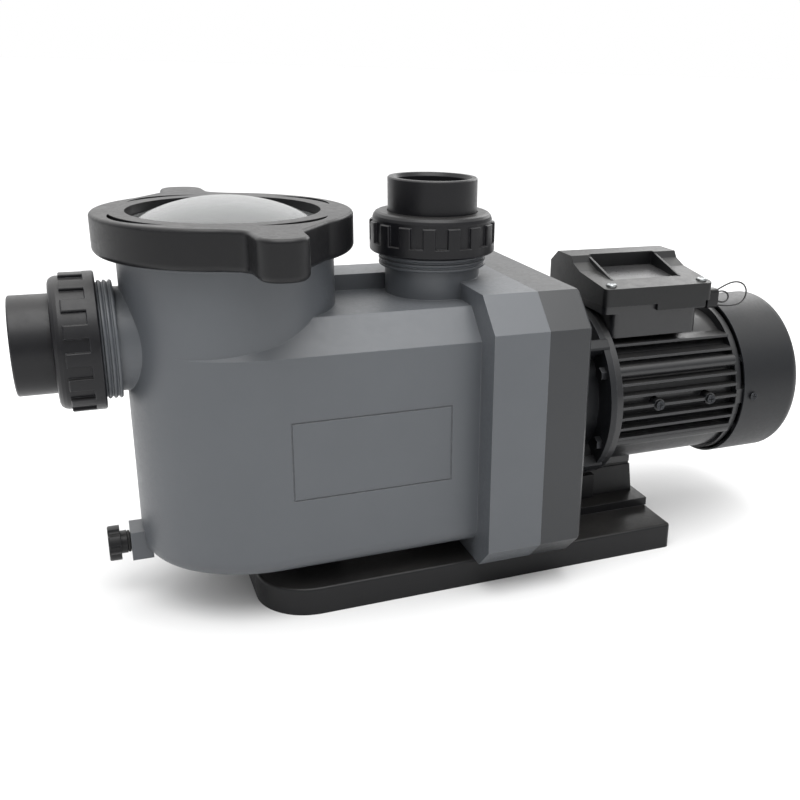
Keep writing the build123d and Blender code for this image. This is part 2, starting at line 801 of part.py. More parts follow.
def make_rotor():
    front_x, front_bore, _, front_width = front_bearing
    rear_x, rear_bore, _, rear_width = rear_bearing
    end_x = fan_x + fan_length
    with BuildPart() as shaft:
        add(
            about_shaft(
                (shaft_nose_x, 0), (shaft_nose_x, shaft_nose), (plate_end_x - 4.0, shaft_nose),
                (plate_end_x - 4.0, 11.0), (front_x - 1.0, 11.0), (front_x - 1.0, front_bore),
                (front_x + front_width, front_bore), (front_x + front_width, rotor_seat),
                (
                    core_x + core_length + 10.0, rotor_seat,
                ), (core_x + core_length + 10.0, 12.0), (rear_x, 12.0),
                (rear_x, rear_bore), (
                    rear_x + rear_width + 3.0, rear_bore,
                ), (rear_x + rear_width + 3.0, fan_seat),
                (end_x, fan_seat), (end_x, 0),
            ).part
        )
        add(
            about_shaft(
                (shaft_nose_x, 0), (shaft_nose_x, 3.1), (shaft_nose_x + 20.0, 3.1),
                (shaft_nose_x + 20.0, 0),
            ).part,
            mode=Mode.SUBTRACT,
        )
        with Locations((fan_x + fan_length / 2, 0, shaft_z + fan_seat)):
            Box(key_length + 0.2, 4.1, 5.0, mode=Mode.SUBTRACT)
    save(shaft, "shaft")

    with BuildPart() as fan_key:
        with Locations((fan_x + fan_length / 2, 0, shaft_z + fan_seat - 2.4)):
            Box(key_length, 4.0, 4.4, align=UP)
    save(fan_key, "fan_key")

    with BuildPart() as rotor_core:
        add(
            about_shaft(
                (core_x, rotor_seat + 0.02), (core_x, rotor_radius), (core_x + core_length, rotor_radius),
                (core_x + core_length, rotor_seat + 0.02),
            ).part
        )
        for x in (core_x - 7.0, core_x + core_length):
            add(about_shaft((x, 22.0), (x, 34.0), (x + 7.0, 34.0), (x + 7.0, 22.0)).part)
    save(rotor_core, "rotor_core")

    with BuildPart() as cooling_fan:
        add(
            about_shaft(
                (fan_x, fan_seat + 0.02), (fan_x, 14.0), (fan_x + 3.0, 16.0), (fan_x + 3.0, 66.0),
                (fan_x + 5.5, 66.0), (fan_x + 5.5, 17.0), (fan_x + fan_length - 1.0, 14.0),
                (fan_x + fan_length - 1.0, fan_seat + 0.02),
            ).part
        )
        with BuildSketch(spoke_plane(fan_x + 5.0, 0)):
            with PolarLocations(0, 8):
                with Locations((40.5, 0)):
                    Rectangle(51.0, 2.2)
        extrude(amount=fan_length - 8.0)
        with Locations((fan_x + fan_length / 2, 0, shaft_z + fan_seat - 1.0)):
            Box(key_length + 0.2, 4.1, 3.2, align=UP, mode=Mode.SUBTRACT)
    save(cooling_fan, "cooling_fan")

    ball_rings = []
    for name, (x, bore, outer, width), count in (("front", front_bearing, 9), ("rear", rear_bearing, 8)):
        pitch_radius = (bore + outer) / 2
        ball = (outer - bore) * 0.27
        race = ball - 1.6
        groove = torus_about_shaft(x + width / 2, pitch_radius, ball + run_gap)
        with BuildPart() as inner_race:
            add(
                about_shaft(
                    (x, bore + 0.02), (x, pitch_radius - race), (x + width, pitch_radius - race),
                    (x + width, bore + 0.02),
                ).part
            )
            add(groove.part, mode=Mode.SUBTRACT)
        save(inner_race, f"{name}_bearing_inner_race")
        with BuildPart() as outer_race:
            add(
                about_shaft(
                    (x, pitch_radius + race), (x, outer - 0.02), (x + width, outer - 0.02),
                    (x + width, pitch_radius + race),
                ).part
            )
            add(groove.part, mode=Mode.SUBTRACT)
        save(outer_race, f"{name}_bearing_outer_race")
        ball_rings.append(
            (ball, on_circle(pitch_radius, [360.0 * n / count
            for n in range(count)], x + width / 2))
        )
    with BuildPart() as bearing_balls:
        for ball, places in ball_rings:
            with Locations(*places):
                Sphere(ball)
    save(bearing_balls, "bearing_balls")


# ================================================================ motor housing
def make_bracket():
    arm_angles = (45.0, 135.0, 225.0, 315.0)
    with BuildPart() as motor_bracket:
        hub = bracket_hub_radius
        add(
            about_shaft(
                (plate_end_x, hub - 6.0), (plate_end_x, hub + 13.0), (plate_end_x + 6.0, hub + 13.0),
                (plate_end_x + 6.0, hub), (motor_x - 6.0, hub), (motor_x - 6.0, bracket_flange_radius),
                (motor_x, bracket_flange_radius), (motor_x, hub - 6.0),
            ).part
        )
        for angle in arm_angles:
            with BuildSketch(spoke_plane(plate_end_x, angle)):
                with Locations((arm_radius, 0)):
                    RectangleRounded(arm_size, arm_size, 2.0)
                with Locations(((hub + arm_radius) / 2 - 2.0, 0)):
                    Rectangle(arm_radius - hub, 5.0)
            extrude(amount=bracket_length)
        with Locations((plate_end_x + bracket_length / 2, 0, shaft_z - bracket_hub_radius)):
            Box(26.0, 30.0, 20.0, mode=Mode.SUBTRACT)
        with Locations(*on_circle(bracket_bolt_circle, bracket_bolt_angles, plate_end_x)):
            Cylinder(bolt_radius + seat_gap, 6.0, align=UP, mode=Mode.SUBTRACT)
        with Locations(*on_circle(shield_bolt_circle, shield_bolt_angles, motor_x - 6.0)):
            Cylinder(bolt_radius + seat_gap, 6.0, align=UP, mode=Mode.SUBTRACT)
    save(motor_bracket, "motor_bracket")

    with BuildPart() as bracket_bolts:
        with Locations(*on_circle(bracket_bolt_circle, bracket_bolt_angles, plate_end_x - 14.0)):
            Cylinder(bolt_radius, 20.0, align=UP)
        with Locations(*on_circle(shield_bolt_circle, shield_bolt_angles, motor_x - 6.0)):
            Cylinder(bolt_radius, 6.0 + shield_rim + 12.0, align=UP)
        for place in on_circle(bracket_bolt_circle, bracket_bolt_angles, plate_end_x + 6.0):
            with BuildSketch(Plane(place)):
                RegularPolygon(5.6, 6, major_radius=False)
        for place in on_circle(shield_bolt_circle, shield_bolt_angles, motor_x - 6.0 - bolt_head_height):
            with BuildSketch(Plane(place)):
                RegularPolygon(5.6, 6, major_radius=False)
        extrude(amount=bolt_head_height)
    save(bracket_bolts, "bracket_bolts")


def make_end_shields():
    front_x, _, front_outer, front_width = front_bearing
    with BuildPart() as front_end_shield:
        add(
            about_shaft(
                (motor_x, 14.0), (motor_x, bracket_flange_radius), (frame_x, bracket_flange_radius),
                (frame_x, frame_bore - seat_gap), (frame_x + 6.0, frame_bore - seat_gap),
                (
                    frame_x + 6.0, frame_bore - 6.0,
                ), (frame_x, frame_bore - 6.0), (frame_x, front_outer + 7.0),
                (front_x + front_width, front_outer + 7.0), (front_x + front_width, front_outer),
                (front_x, front_outer), (front_x, 14.0),
            ).part
        )
        with Locations(*on_circle(shield_bolt_circle, shield_bolt_angles, motor_x)):
            Cylinder(bolt_radius + seat_gap, shield_rim, align=UP, mode=Mode.SUBTRACT)
    save(front_end_shield, "front_end_shield")

    rear_x, _, rear_outer, rear_width = rear_bearing
    shield_x = frame_end_x
    with BuildPart() as rear_end_shield:
        add(
            about_shaft(
                (shield_x - 6.0, frame_bore - 6.0), (shield_x - 6.0, frame_bore - seat_gap),
                (shield_x, frame_bore - seat_gap), (shield_x, 76.0), (shield_x + rear_shield - 2.0, 76.0),
                (shield_x + rear_shield, 72.0), (shield_x + rear_shield, rear_outer + 8.0),
                (rear_x + rear_width + 5.0, rear_outer + 6.0), (rear_x + rear_width + 5.0, 10.5),
                (rear_x + rear_width, 10.5), (rear_x + rear_width, rear_outer), (rear_x - 1.0, rear_outer),
                (rear_x - 1.0, frame_bore - 6.0),
            ).part
        )
        for angle in cowl_lug_angles:
            with BuildSketch(spoke_plane(shield_x, angle)):
                with Locations((70.0, 0)):
                    Rectangle(2 * (cowl_radius - cowl_wall - 3 * slide_gap - 70.0), 14.0)
        extrude(amount=cowl_gap + 17.0)
        with Locations(*cowl_screw_places(cowl_radius - 14.0)):
            Cylinder(2.1, 16.0, align=UP, mode=Mode.SUBTRACT)
        with Locations(*on_circle(shield_bolt_circle, shield_bolt_angles, shield_x)):
            Cylinder(2.6, rear_shield, align=UP, mode=Mode.SUBTRACT)
    save(rear_end_shield, "rear_end_shield")

    with BuildPart() as shield_screws:
        with Locations(*on_circle(shield_bolt_circle, shield_bolt_angles, shield_x - 16.0)):
            Cylinder(2.5, rear_shield + 16.0, align=UP)
        with Locations(*on_circle(shield_bolt_circle, shield_bolt_angles, shield_x + rear_shield)):
            Cylinder(4.2, 3.0, align=UP)
    save(shield_screws, "shield_screws")


def cowl_screw_places(radius):
    """Places of the screws that hold the cowl, local Z outwards."""
    x = cowl_x + 10.0
    places = []
    for angle in cowl_lug_angles:
        turn = radians(angle)
        places.append(
            Plane(
                origin=(x, radius * cos(turn), shaft_z + radius * sin(turn)), x_dir=(1, 0, 0),
                z_dir=(0, cos(turn), sin(turn)),
            ).location
        )
    return places


def make_frame():
    with BuildPart() as motor_frame:
        with BuildSketch(spoke_plane(frame_x, 0)):
            Circle(belly_radius)
            with Locations((0, -belly_top - belly_radius)):
                Rectangle(2 * belly_radius, 2 * belly_radius, mode=Mode.INTERSECT)
            Circle(frame_root)
            for n in range(fin_first, fin_last + 1):
                level = fin_offset + n * fin_pitch
                with Locations((0, level)):
                    Rectangle(2 * sqrt(fin_tip**2 - level**2), fin_thickness)
            with Locations(
                *[(shield_bolt_circle * cos(radians(a)), shield_bolt_circle * sin(radians(a)))
                for a in shield_bolt_angles]
            ):
                Circle(6.0)
            Circle(frame_bore, mode=Mode.SUBTRACT)
        extrude(amount=frame_length)
        # Pad under the terminal box and foot over the pedestal.
        with Locations((frame_x + (box_length + 0.5) / 2, 0, shaft_z + frame_bore + 2.0)):
            Box(
                box_length + 0.5, saddle_width - 2 * slide_gap,
                saddle_top_z - shaft_z - frame_bore - 2.0, align=UP,
            )
        with Locations((motor_foot_x, 0, motor_foot_z)):
            Box(
                motor_foot_length, pedestal_width - 6.0, shaft_z - frame_bore - 3.0 - motor_foot_z,
                align=UP,
            )
        for side in (-1, 1):
            for x in fin_screw_xs:
                boss = Plane(
                    origin=(x, side * (frame_bore + 2.0), shaft_z + fin_offset),
                    z_dir=(0, side, 0),
                )
                with Locations(boss):
                    Cylinder(5.5, fin_tip - frame_bore - 2.0, align=UP)
                    Cylinder(2.1, fin_tip - frame_bore - 2.0, align=UP, mode=Mode.SUBTRACT)
        with Locations(*on_circle(shield_bolt_circle, shield_bolt_angles, frame_x)):
            Cylinder(bolt_radius + seat_gap, 13.0, align=UP, mode=Mode.SUBTRACT)
        with Locations(*on_circle(shield_bolt_circle, shield_bolt_angles, frame_end_x - 17.0)):
            Cylinder(2.6, 17.0, align=UP, mode=Mode.SUBTRACT)
        with Locations(*box_screw_places(saddle_top_z - 7.5)):
            Cylinder(2.1, 7.5, align=UP, mode=Mode.SUBTRACT)
    save(motor_frame, "motor_frame")

    with BuildPart() as fin_screws:
        for side in (-1, 1):
            for x in fin_screw_xs:
                root = Plane(
                    origin=(x, side * (frame_bore + 4.0), shaft_z + fin_offset),
                    z_dir=(0, side, 0),
                )
                with Locations(root):
                    Cylinder(2.0, fin_tip - frame_bore - 4.0, align=UP)
                head = Plane(origin=(x, side * fin_tip, shaft_z + fin_offset), z_dir=(0, side, 0))
                with Locations(head):
                    Cylinder(fin_screw_head, 2.4, align=UP)
                with Locations(head.offset(2.0)):
                    Box(5.6, cross_width, 1.6, mode=Mode.SUBTRACT)
                    Box(cross_width, 5.6, 1.6, mode=Mode.SUBTRACT)
    save(fin_screws, "fin_screws")


def make_stator():
    slot_root = frame_bore - 8.0
    slot_mouth = rotor_radius + rotor_gap + 5.0
    slot_depth = slot_root - slot_mouth
    with BuildPart() as stator_core:
        add(
            about_shaft(
                (core_x, rotor_radius + rotor_gap), (core_x, frame_bore - 0.02),
                (core_x + core_length, frame_bore - 0.02), (core_x + core_length, rotor_radius + rotor_gap),
            ).part
        )
        with BuildSketch(spoke_plane(core_x, 0)):
            with PolarLocations(0, slot_count):
                with Locations(((slot_root + slot_mouth) / 2, 0)):
                    Rectangle(slot_depth, 4.6)
        extrude(amount=core_length, mode=Mode.SUBTRACT)
    save(stator_core, "stator_core")

    reach = 13.0
    with BuildPart() as stator_windings:
        with BuildSketch(spoke_plane(core_x - reach + 2.0, 0)):
            with PolarLocations(0, slot_count):
                with Locations(((slot_root + slot_mouth) / 2, 0)):
                    Rectangle(slot_depth - 0.4, 4.2)
        extrude(amount=core_length + 2 * reach - 4.0)
        for start in (core_x - reach, core_x + core_length + 1.5):
            width = reach - 1.5
            add(
                about_shaft(
                    (start, slot_mouth + 3.0), (start + 2.0, slot_mouth), (start + width - 2.0, slot_mouth),
                    (start + width, slot_mouth + 2.0), (start + width, slot_root - 1.0),
                    (
                        start + width - 3.0, slot_root + 1.0,
                    ), (start + 3.0, slot_root + 1.0), (start, slot_root - 2.0),
                ).part
            )
    save(stator_windings, "stator_windings")


def make_cowl():
    outer = cowl_radius
    end = cowl_end_radius
    with BuildPart() as fan_cowl:
        with BuildSketch(Plane(origin=(0, 0, shaft_z), x_dir=(1, 0, 0), z_dir=(0, -1, 0))):
            with BuildLine():
                Line((cowl_x, outer - cowl_wall), (cowl_x, outer))
                Line((cowl_x, outer), (cowl_end_x - cowl_nose, outer))
                Spline(
                    (cowl_end_x - cowl_nose, outer), (cowl_end_x - 3.0, end + 1.0), (cowl_end_x, end - 6.0),
                    tangents=((1, 0), (0, -1)), tangent_scalars=(1.0, 0.6),
                )
                Line((cowl_end_x, end - 6.0), (cowl_end_x, 0))
                Line((cowl_end_x, 0), (cowl_end_x - cowl_wall, 0))
                Line((cowl_end_x - cowl_wall, 0), (cowl_end_x - cowl_wall, end - 7.0))
                Line((cowl_end_x - cowl_wall, end - 7.0), (cowl_end_x - cowl_nose, outer - cowl_wall - 0.6))
                Line(
                    (cowl_end_x - cowl_nose, outer - cowl_wall - 0.6),
                    (cowl_end_x - cowl_nose - 3.0, outer - cowl_wall),
                )
                Line((cowl_end_x - cowl_nose - 3.0, outer - cowl_wall), (cowl_x, outer - cowl_wall))
            make_face()
        revolve(axis=shaft_axis)
        # Air grille: rings of slots in the end face.
        with BuildSketch(spoke_plane(cowl_end_x - cowl_wall - 1.0, 0)):
            for radius, count in ((58.0, 24), (45.0, 20), (32.0, 14), (19.0, 8)):
                with PolarLocations(radius, count):
                    SlotOverall(9.5, 4.0)
        extrude(amount=cowl_wall + 2.0, mode=Mode.SUBTRACT)
        with Locations(*cowl_screw_places(cowl_radius - 6.0)):
            Cylinder(2.2, 10.0, align=UP, mode=Mode.SUBTRACT)
    save(fan_cowl, "fan_cowl")

    with BuildPart() as cowl_screws:
        with Locations(*cowl_screw_places(cowl_radius - 12.0)):
            Cylinder(2.0, 12.0, align=UP)
        with Locations(*cowl_screw_places(cowl_radius + 0.05)):
            Cylinder(4.0, 2.2, align=UP)
        with Locations(*cowl_screw_places(cowl_radius + 2.0)):
            Box(5.2, cross_width, 1.4, mode=Mode.SUBTRACT)
            Box(cross_width, 5.2, 1.4, mode=Mode.SUBTRACT)
    save(cowl_screws, "cowl_screws")


# ================================================================ terminal box


def box_screw_places(z):
    """Screws that hold the terminal box to the motor."""
    return [(box_middle_x + end * (box_length / 2 - 9.0), 0, z) for end in (-1, 1)]


def lid_screw_places(z):
    """Corner screws of the terminal box lid."""
    return [(x, side * 48.5, z) for x in (lid_x + 10.0, lid_x + lid_length - 8.0) for side in (-1, 1)]


def make_terminal_box():
    height = box_rim_z - box_bottom_z
    floor_z = saddle_top_z + box_wall
    well = (box_width - saddle_width) / 2 - 2 * box_wall
    cavity_length = box_length - 2 * box_wall
    with BuildPart() as terminal_box:
        with BuildSketch(Plane.XY.offset(box_bottom_z)):
            with Locations((box_middle_x, 0)):
                RectangleRounded(box_length, box_width, 7.0)
        extrude(amount=height)
        with BuildSketch(Plane.XY.offset(tray_bottom_z)):
            with Locations((tray_x + tray_length / 2, 0)):
                RectangleRounded(tray_length, box_width, 5.0)
        extrude(amount=box_rim_z - tray_bottom_z)
        with Locations((box_middle_x, 0, box_bottom_z)):
            Box(box_length, saddle_width, saddle_top_z - box_bottom_z, align=UP, mode=Mode.SUBTRACT)
        with Locations((box_middle_x, 0, floor_z)):
            Box(cavity_length, box_width - 2 * box_wall, height, align=UP, mode=Mode.SUBTRACT)
        for side in (-1, 1):
            with Locations(
                (box_middle_x, side * (box_width / 2 - box_wall - well / 2), box_bottom_z + box_wall)
            ):
                Box(cavity_length, well, height, align=UP, mode=Mode.SUBTRACT)
        with Locations(*lid_screw_places(tray_bottom_z)):
            Cylinder(lid_boss, box_rim_z - tray_bottom_z, align=UP)
            Cylinder(2.1, box_rim_z - tray_bottom_z, align=UP, mode=Mode.SUBTRACT)
        with Locations(*box_screw_places(saddle_top_z)):
            Cylinder(2.2, box_wall, align=UP, mode=Mode.SUBTRACT)
        with Locations(gland_plane(-box_wall - 1.0)):
            Cylinder(gland_thread + seat_gap, box_wall + 2.0, align=UP, mode=Mode.SUBTRACT)
    save(terminal_box, "terminal_box")

    block_x = box_middle_x - 18.0
    block_height = 10.0
    with BuildPart() as terminal_block:
        with Locations((block_x, 0, floor_z)):
            Box(22.0, 46.0, block_height, align=UP)
        with Locations((block_x, 0, floor_z + block_height - 3.0)):
            with GridLocations(13.0, 9.0, 2, 5):
                Cylinder(2.7, 3.0, align=UP, mode=Mode.SUBTRACT)
    save(terminal_block, "terminal_block")

    # Screws inside the box: two that hold it down and the row of terminals.
    with BuildPart() as box_screws:
        with Locations(*box_screw_places(saddle_top_z - 7.0)):
            Cylinder(2.0, 7.0 + box_wall, align=UP)
        with Locations(*box_screw_places(floor_z)):
            Cylinder(4.0, 2.4, align=UP)
        with Locations((block_x, 0, floor_z + block_height - 3.0)):
            with GridLocations(13.0, 9.0, 2, 5):
                Cylinder(2.5, 2.0, align=UP)
    save(box_screws, "box_screws")

    with BuildPart() as run_capacitor:
        with Locations(Plane(origin=(box_middle_x + 19.0, -36.0, floor_z + 10.2), z_dir=(0, 1, 0))):
            Cylinder(10.0, 72.0, align=UP)
            Cylinder(4.0, 76.0, align=UP)
    save(run_capacitor, "run_capacitor")

    with BuildPart() as cable_gland:
        with Locations(gland_plane(-box_wall - 4.0)):
            Cylinder(gland_thread, box_wall + 4.0, align=UP)
        with BuildSketch(gland_plane(0)):
            RegularPolygon(8.6, 6, major_radius=False)
        extrude(amount=5.0)
        with Locations(gland_plane(5.0)):
            Cylinder(gland_thread, 7.0, align=UP)
        with Locations(gland_plane(-box_wall - 4.0)):
            Cylinder(gland_bore, 40.0, align=UP, mode=Mode.SUBTRACT)
    save(cable_gland, "cable_gland")

    with BuildPart() as gland_nut:
        with BuildSketch(gland_plane(5.2)):
            RegularPolygon(8.6 + 1.2, 6, major_radius=False)
        extrude(amount=10.0)
        fillet(gland_nut.faces().sort_by(Axis.Y)[-1].edges(), 1.5)
        with Locations(gland_plane(5.0)):
            Cylinder(gland_thread + 0.1, 7.6, align=UP, mode=Mode.SUBTRACT)
            Cylinder(gland_bore, 20.0, align=UP, mode=Mode.SUBTRACT)
    save(gland_nut, "gland_nut")


def gland_plane(distance):
    """Plane across the cable gland, a distance outwards from the far wall of the box."""
    return Plane(origin=(gland_x, box_width / 2 + distance, gland_z), x_dir=(1, 0, 0), z_dir=(0, 1, 0))


def make_terminal_lid():
    half = lid_width / 2
    bottom = box_rim_z + lid_gasket
    middle_x = lid_x + lid_length / 2
    with BuildPart() as terminal_box_lid:
        with BuildSketch(Plane.YZ.offset(lid_x)):
            with BuildLine():
                Polyline(
                    (-half, bottom), (-half, lid_front_z), (-6.6, 257.7), (7.0, 263.0), (11.0, lid_ridge_z),
                    (38.6, lid_ridge_z), (half, lid_ridge_z - 14.0), (half, bottom), close=True,
                )
            make_face()
        extrude(amount=lid_length)
        fillet(terminal_box_lid.edges().filter_by(Axis.Z), 5.0)
        # Skirt that overlaps the box, deeper towards the rear.
        with BuildSketch(Plane.XY.offset(bottom)):
            with Locations((middle_x, 0)):
                RectangleRounded(lid_length, lid_width, 5.0)
                RectangleRounded(tray_length + 1.0, box_width + 1.0, 5.5, mode=Mode.SUBTRACT)
        extrude(amount=-3.0)
        for side in (-1, 1):
            strip = (lid_width - box_width - 1.0) / 2
            with Locations((middle_x + 24.0, side * (lid_width - strip) / 2, bottom - 9.0)):
                Box(lid_length - 62.0, strip, 9.0, align=UP)
        # Sunken label pocket between two thin cheeks.
        with BuildSketch(Plane.YZ.offset(lid_x + pocket_start)):
            with BuildLine():
                Polyline(
                    (pocket_front_y, lid_front_z + 5.0), (pocket_front_y, lid_front_z - 0.3),
                    (pocket_back_y, lid_front_z + 4.5), (pocket_back_y, lid_ridge_z + 1.0),
                    (pocket_front_y, lid_ridge_z + 1.0), close=True,
                )
            make_face()
        extrude(amount=pocket_length, mode=Mode.SUBTRACT)
        for start in (lid_x + pocket_start - 2.2, lid_x + pocket_start + pocket_length):
            with BuildSketch(Plane.YZ.offset(start)):
                with BuildLine():
                    Polyline(
                        (pocket_front_y - 1.0, lid_front_z), (pocket_front_y - 1.0, lid_front_z + 3.4),
                        (pocket_back_y, lid_ridge_z), (
                            pocket_back_y + 1.0, lid_ridge_z,
                        ), (pocket_back_y + 1.0, lid_front_z),
                        close=True,
                    )
                make_face()
            extrude(amount=2.2)
        # Hollow underside, with bosses for the corner screws.
        with Locations((box_middle_x, 0, bottom)):
            Box(box_length - 2 * box_wall, box_width - 2 * box_wall, 9.0, align=UP, mode=Mode.SUBTRACT)
        with Locations((box_middle_x, 33.0, bottom)):
            Box(box_length - 2 * box_wall, 26.0, 22.0, align=UP, mode=Mode.SUBTRACT)
        with Locations(*lid_screw_places(bottom)):
            Cylinder(lid_boss, 12.0, align=UP)
        with Locations(*lid_screw_places(bottom)):
            Cylinder(2.2, 40.0, align=UP, mode=Mode.SUBTRACT)
        with Locations(*lid_screw_places(lid_head_z)):
            Cylinder(5.2, 30.0, align=UP, mode=Mode.SUBTRACT)
    save(terminal_box_lid, "terminal_box_lid")

    with BuildPart() as lid_screws:
        shank_z = tray_bottom_z + 1.0
        with Locations(*lid_screw_places(shank_z)):
            Cylinder(2.0, lid_head_z - shank_z, align=UP)
        with Locations(*lid_screw_places(lid_head_z)):
            Cylinder(4.6, 2.6, align=UP)
        fillet(lid_screws.edges().filter_by(GeomType.CIRCLE).group_by(Axis.Z)[-1], 1.2)
        with Locations(*lid_screw_places(lid_head_z + 2.2)):
            Box(6.0, cross_width, 1.6, mode=Mode.SUBTRACT)
            Box(cross_width, 6.0, 1.6, mode=Mode.SUBTRACT)
    save(lid_screws, "terminal_lid_screws")

    with BuildPart() as gasket:
        with BuildSketch(Plane.XY.offset(box_rim_z)):
            with Locations((tray_x + tray_length / 2, 0)):
                RectangleRounded(tray_length, box_width, 5.0)
            with Locations((box_middle_x, 0)):
                Rectangle(box_length - 2 * box_wall, box_width - 2 * box_wall, mode=Mode.SUBTRACT)
        extrude(amount=lid_gasket)
        with Locations(*lid_screw_places(box_rim_z)):
            Cylinder(lid_boss, lid_gasket, align=UP)
            Cylinder(2.2, lid_gasket, align=UP, mode=Mode.SUBTRACT)
    save(gasket, "terminal_box_gasket")


def make_leads():
    start_x = lid_x + lid_length
    with BuildPart() as lead_clip:
        with Locations((start_x + lead_clip_length / 2, lead_y, 225.0)):
            Box(lead_clip_length, 12.0, 18.0, align=UP)
        fillet(lead_clip.edges().filter_by(Axis.X), 3.0)
    save(lead_clip, "lead_clip")

    for name, route, y in (
        ("lead_loop_outer", lead_route_outer, lead_y - 1.5),
        ("lead_loop_inner", lead_route_inner, lead_y + 2.0),
    ):
        save(wire(route, y), name)


def wire(route, y):
    """Round wire along straight runs joined by arcs as large as the runs allow."""
    points = [Vector(x, y, z) for x, z in route]
    runs = [b - a for a, b in zip(points, points[1:])]
    radii = []
    for before, after in zip(runs, runs[1:]):
        turn = radians(before.get_angle(after))
        radii.append(0.45 * min(before.length, after.length) / tan(turn / 2))
    with BuildPart() as lead:
        with BuildLine() as path:
            FilletPolyline(*points, radius=radii)
        with BuildSketch(Plane(origin=path.wire() @ 0, z_dir=path.wire() % 0)):
            Circle(lead_diameter / 2)
        sweep(path=path.wire())
    return lead


# ================================================================ unions
def nut_grip(port):
    """Grip pads that stand up from the foot ring of a union nut, like battlements."""
    width = pi * nut_radius / nut_pads
    with BuildPart() as pad:
        with BuildSketch(Plane.XY.offset(nut_foot - 1.0)):
            Circle(nut_radius)
            Circle(nut_radius - nut_pad_height - 1.5, mode=Mode.SUBTRACT)
            with Locations((nut_radius, 0)):
                Rectangle(4 * nut_pad_height, width, mode=Mode.INTERSECT)
        extrude(amount=nut_pad_top - nut_foot + 1.0)
        outer_edges = pad.faces().sort_by(Axis.X)[-1].edges().sort_by(Axis.Z)
        fillet(outer_edges[1:], 1.1)
    with BuildPart() as pads:
        with Locations(port.location):
            with PolarLocations(0, nut_pads):
                add(pad.part)
    return pads


def make_union(port, name):
    shoulder = port_engaged + tail_flange + 2 * slide_gap
    lip = tail_flange_radius
    tail_end = nut_length + tail_stub
    waterway = tail_end - socket_depth
    tailpiece = about_port(
        port,
        (tail_waterway, port_engaged + slide_gap), (lip, port_engaged + slide_gap),
        (lip, port_engaged + slide_gap + tail_flange), (
            tail_radius, port_engaged + slide_gap + tail_flange,
        ),
        (tail_radius, tail_end - 1.0), (tail_radius - 1.0, tail_end), (socket_radius + 2.0, tail_end),
        (socket_radius, tail_end - 3.0), (socket_radius, waterway), (tail_waterway, waterway),
    )
    groove = about_port(
        port,
        (38.0, port_engaged + slide_gap - 1.0), (42.2, port_engaged + slide_gap - 1.0),
        (42.2, port_engaged + slide_gap + 3.2), (38.0, port_engaged + slide_gap + 3.2),
    )
    with BuildPart() as tail:
        add(tailpiece.part)
        add(groove.part, mode=Mode.SUBTRACT)
    save(tail, f"{name}_tailpiece")

    with BuildPart() as oring:
        section = section_plane(port)
        with BuildSketch(section):
            with Locations((40.1, port_engaged + slide_gap + 1.4)):
                Circle(1.65)
        revolve(axis=port_axis(port))
    save(oring, f"{name}_oring")

    body_radius = nut_radius - nut_pad_height
    with BuildPart() as nut:
        add(
            about_port(
                port,
                (port_thread_radius + thread_gap + 1.0, 0), (nut_radius - 1.2, 0), (nut_radius, 1.2),
                (nut_radius, nut_foot), (body_radius, nut_foot + 0.4),
                (body_radius, nut_length - 5.5), (body_radius - 0.8, nut_length - 3.0),
                (body_radius - 2.4, nut_length - 1.0), (body_radius - 4.6, nut_length),
                (tail_radius + 0.5, nut_length), (tail_radius + 0.5, shoulder), (
                    port_thread_radius + thread_gap, shoulder,
                ),
                (port_thread_radius + thread_gap, 1.0),
            ).part
        )
        add(nut_grip(port).part)
    save(nut, f"{name}_nut")


# ================================================================ lid, ring and basket
def make_lid():
    lip = pot_bore - 1.0
    edge_z = dome_top_z - dome_rise
    with BuildPart() as lid_dome:
        with BuildSketch(Plane(origin=(pot_x, 0, 0), x_dir=(1, 0, 0), z_dir=(0, -1, 0))):
            with BuildLine():
                rise = dome_rise
                ball = (dome_radius**2 + rise**2) / (2 * rise)
                centre_z = dome_top_z - ball
                half_turn = degrees(asin(dome_radius / ball))
                CenterArc((0, centre_z), ball, 90, -half_turn)
                Polyline(
                    (dome_radius, edge_z), (ring_opening - 1.2, edge_z - 1.0),
                    (ring_opening - 1.2, lid_flange_top_z), (pot_thread_radius - 0.6, lid_flange_top_z),
                    (pot_thread_radius - 0.6, lid_flange_bottom_z), (lip, lid_flange_bottom_z),
                    (lip, lid_flange_bottom_z - 6.0), (lip - 4.0, lid_flange_bottom_z - 6.0),
                    (lip - 5.0, edge_z - lid_wall - 2.0), (dome_radius - 3.0, edge_z - lid_wall),
                )
                inner = ball - lid_wall
                inner_turn = degrees(asin((dome_radius - 3.0) / inner))
                Line(
                    (dome_radius - 3.0, edge_z - lid_wall),
                    (inner * sin(radians(inner_turn)), centre_z + inner * cos(radians(inner_turn))),
                )
                CenterArc((0, centre_z), inner, 90 - inner_turn, inner_turn)
                Line((0, centre_z + inner), (0, dome_top_z))
            make_face()
        revolve(axis=pot_axis)
    save(lid_dome, "lid_dome")

    with BuildPart() as lid_oring:
        with BuildSketch(Plane(origin=(pot_x, 0, 0), x_dir=(1, 0, 0), z_dir=(0, -1, 0))):
            with Locations((lid_seal_radius, seat_z - 3.4 + 2.55)):
                Circle(2.45)
        revolve(axis=pot_axis)
    save(lid_oring, "lid_oring")


def ring_outline():
    """Plan of the locking ring: a circle with two opposite finger lobes."""
    with BuildSketch() as plan:
        Circle(ring_radius)
        for flip in (1, -1):
            with BuildLine():
                Polyline(*[(flip * x, flip * y) for x, y in lobe_points], close=True)
            make_face()
        for low, high, radius in (
            (lobe_reach - 8.0, 400.0, 16.0), (ring_radius + 3.0, lobe_reach - 8.0, 12.0),
            (0.0, ring_radius + 3.0, 20.0),
        ):
            sharp = [v for v in plan.vertices() if not is_smooth(v, plan)]
            fillet([v for v in sharp if low < Vector(v.X, v.Y).length < high], radius)
    return plan


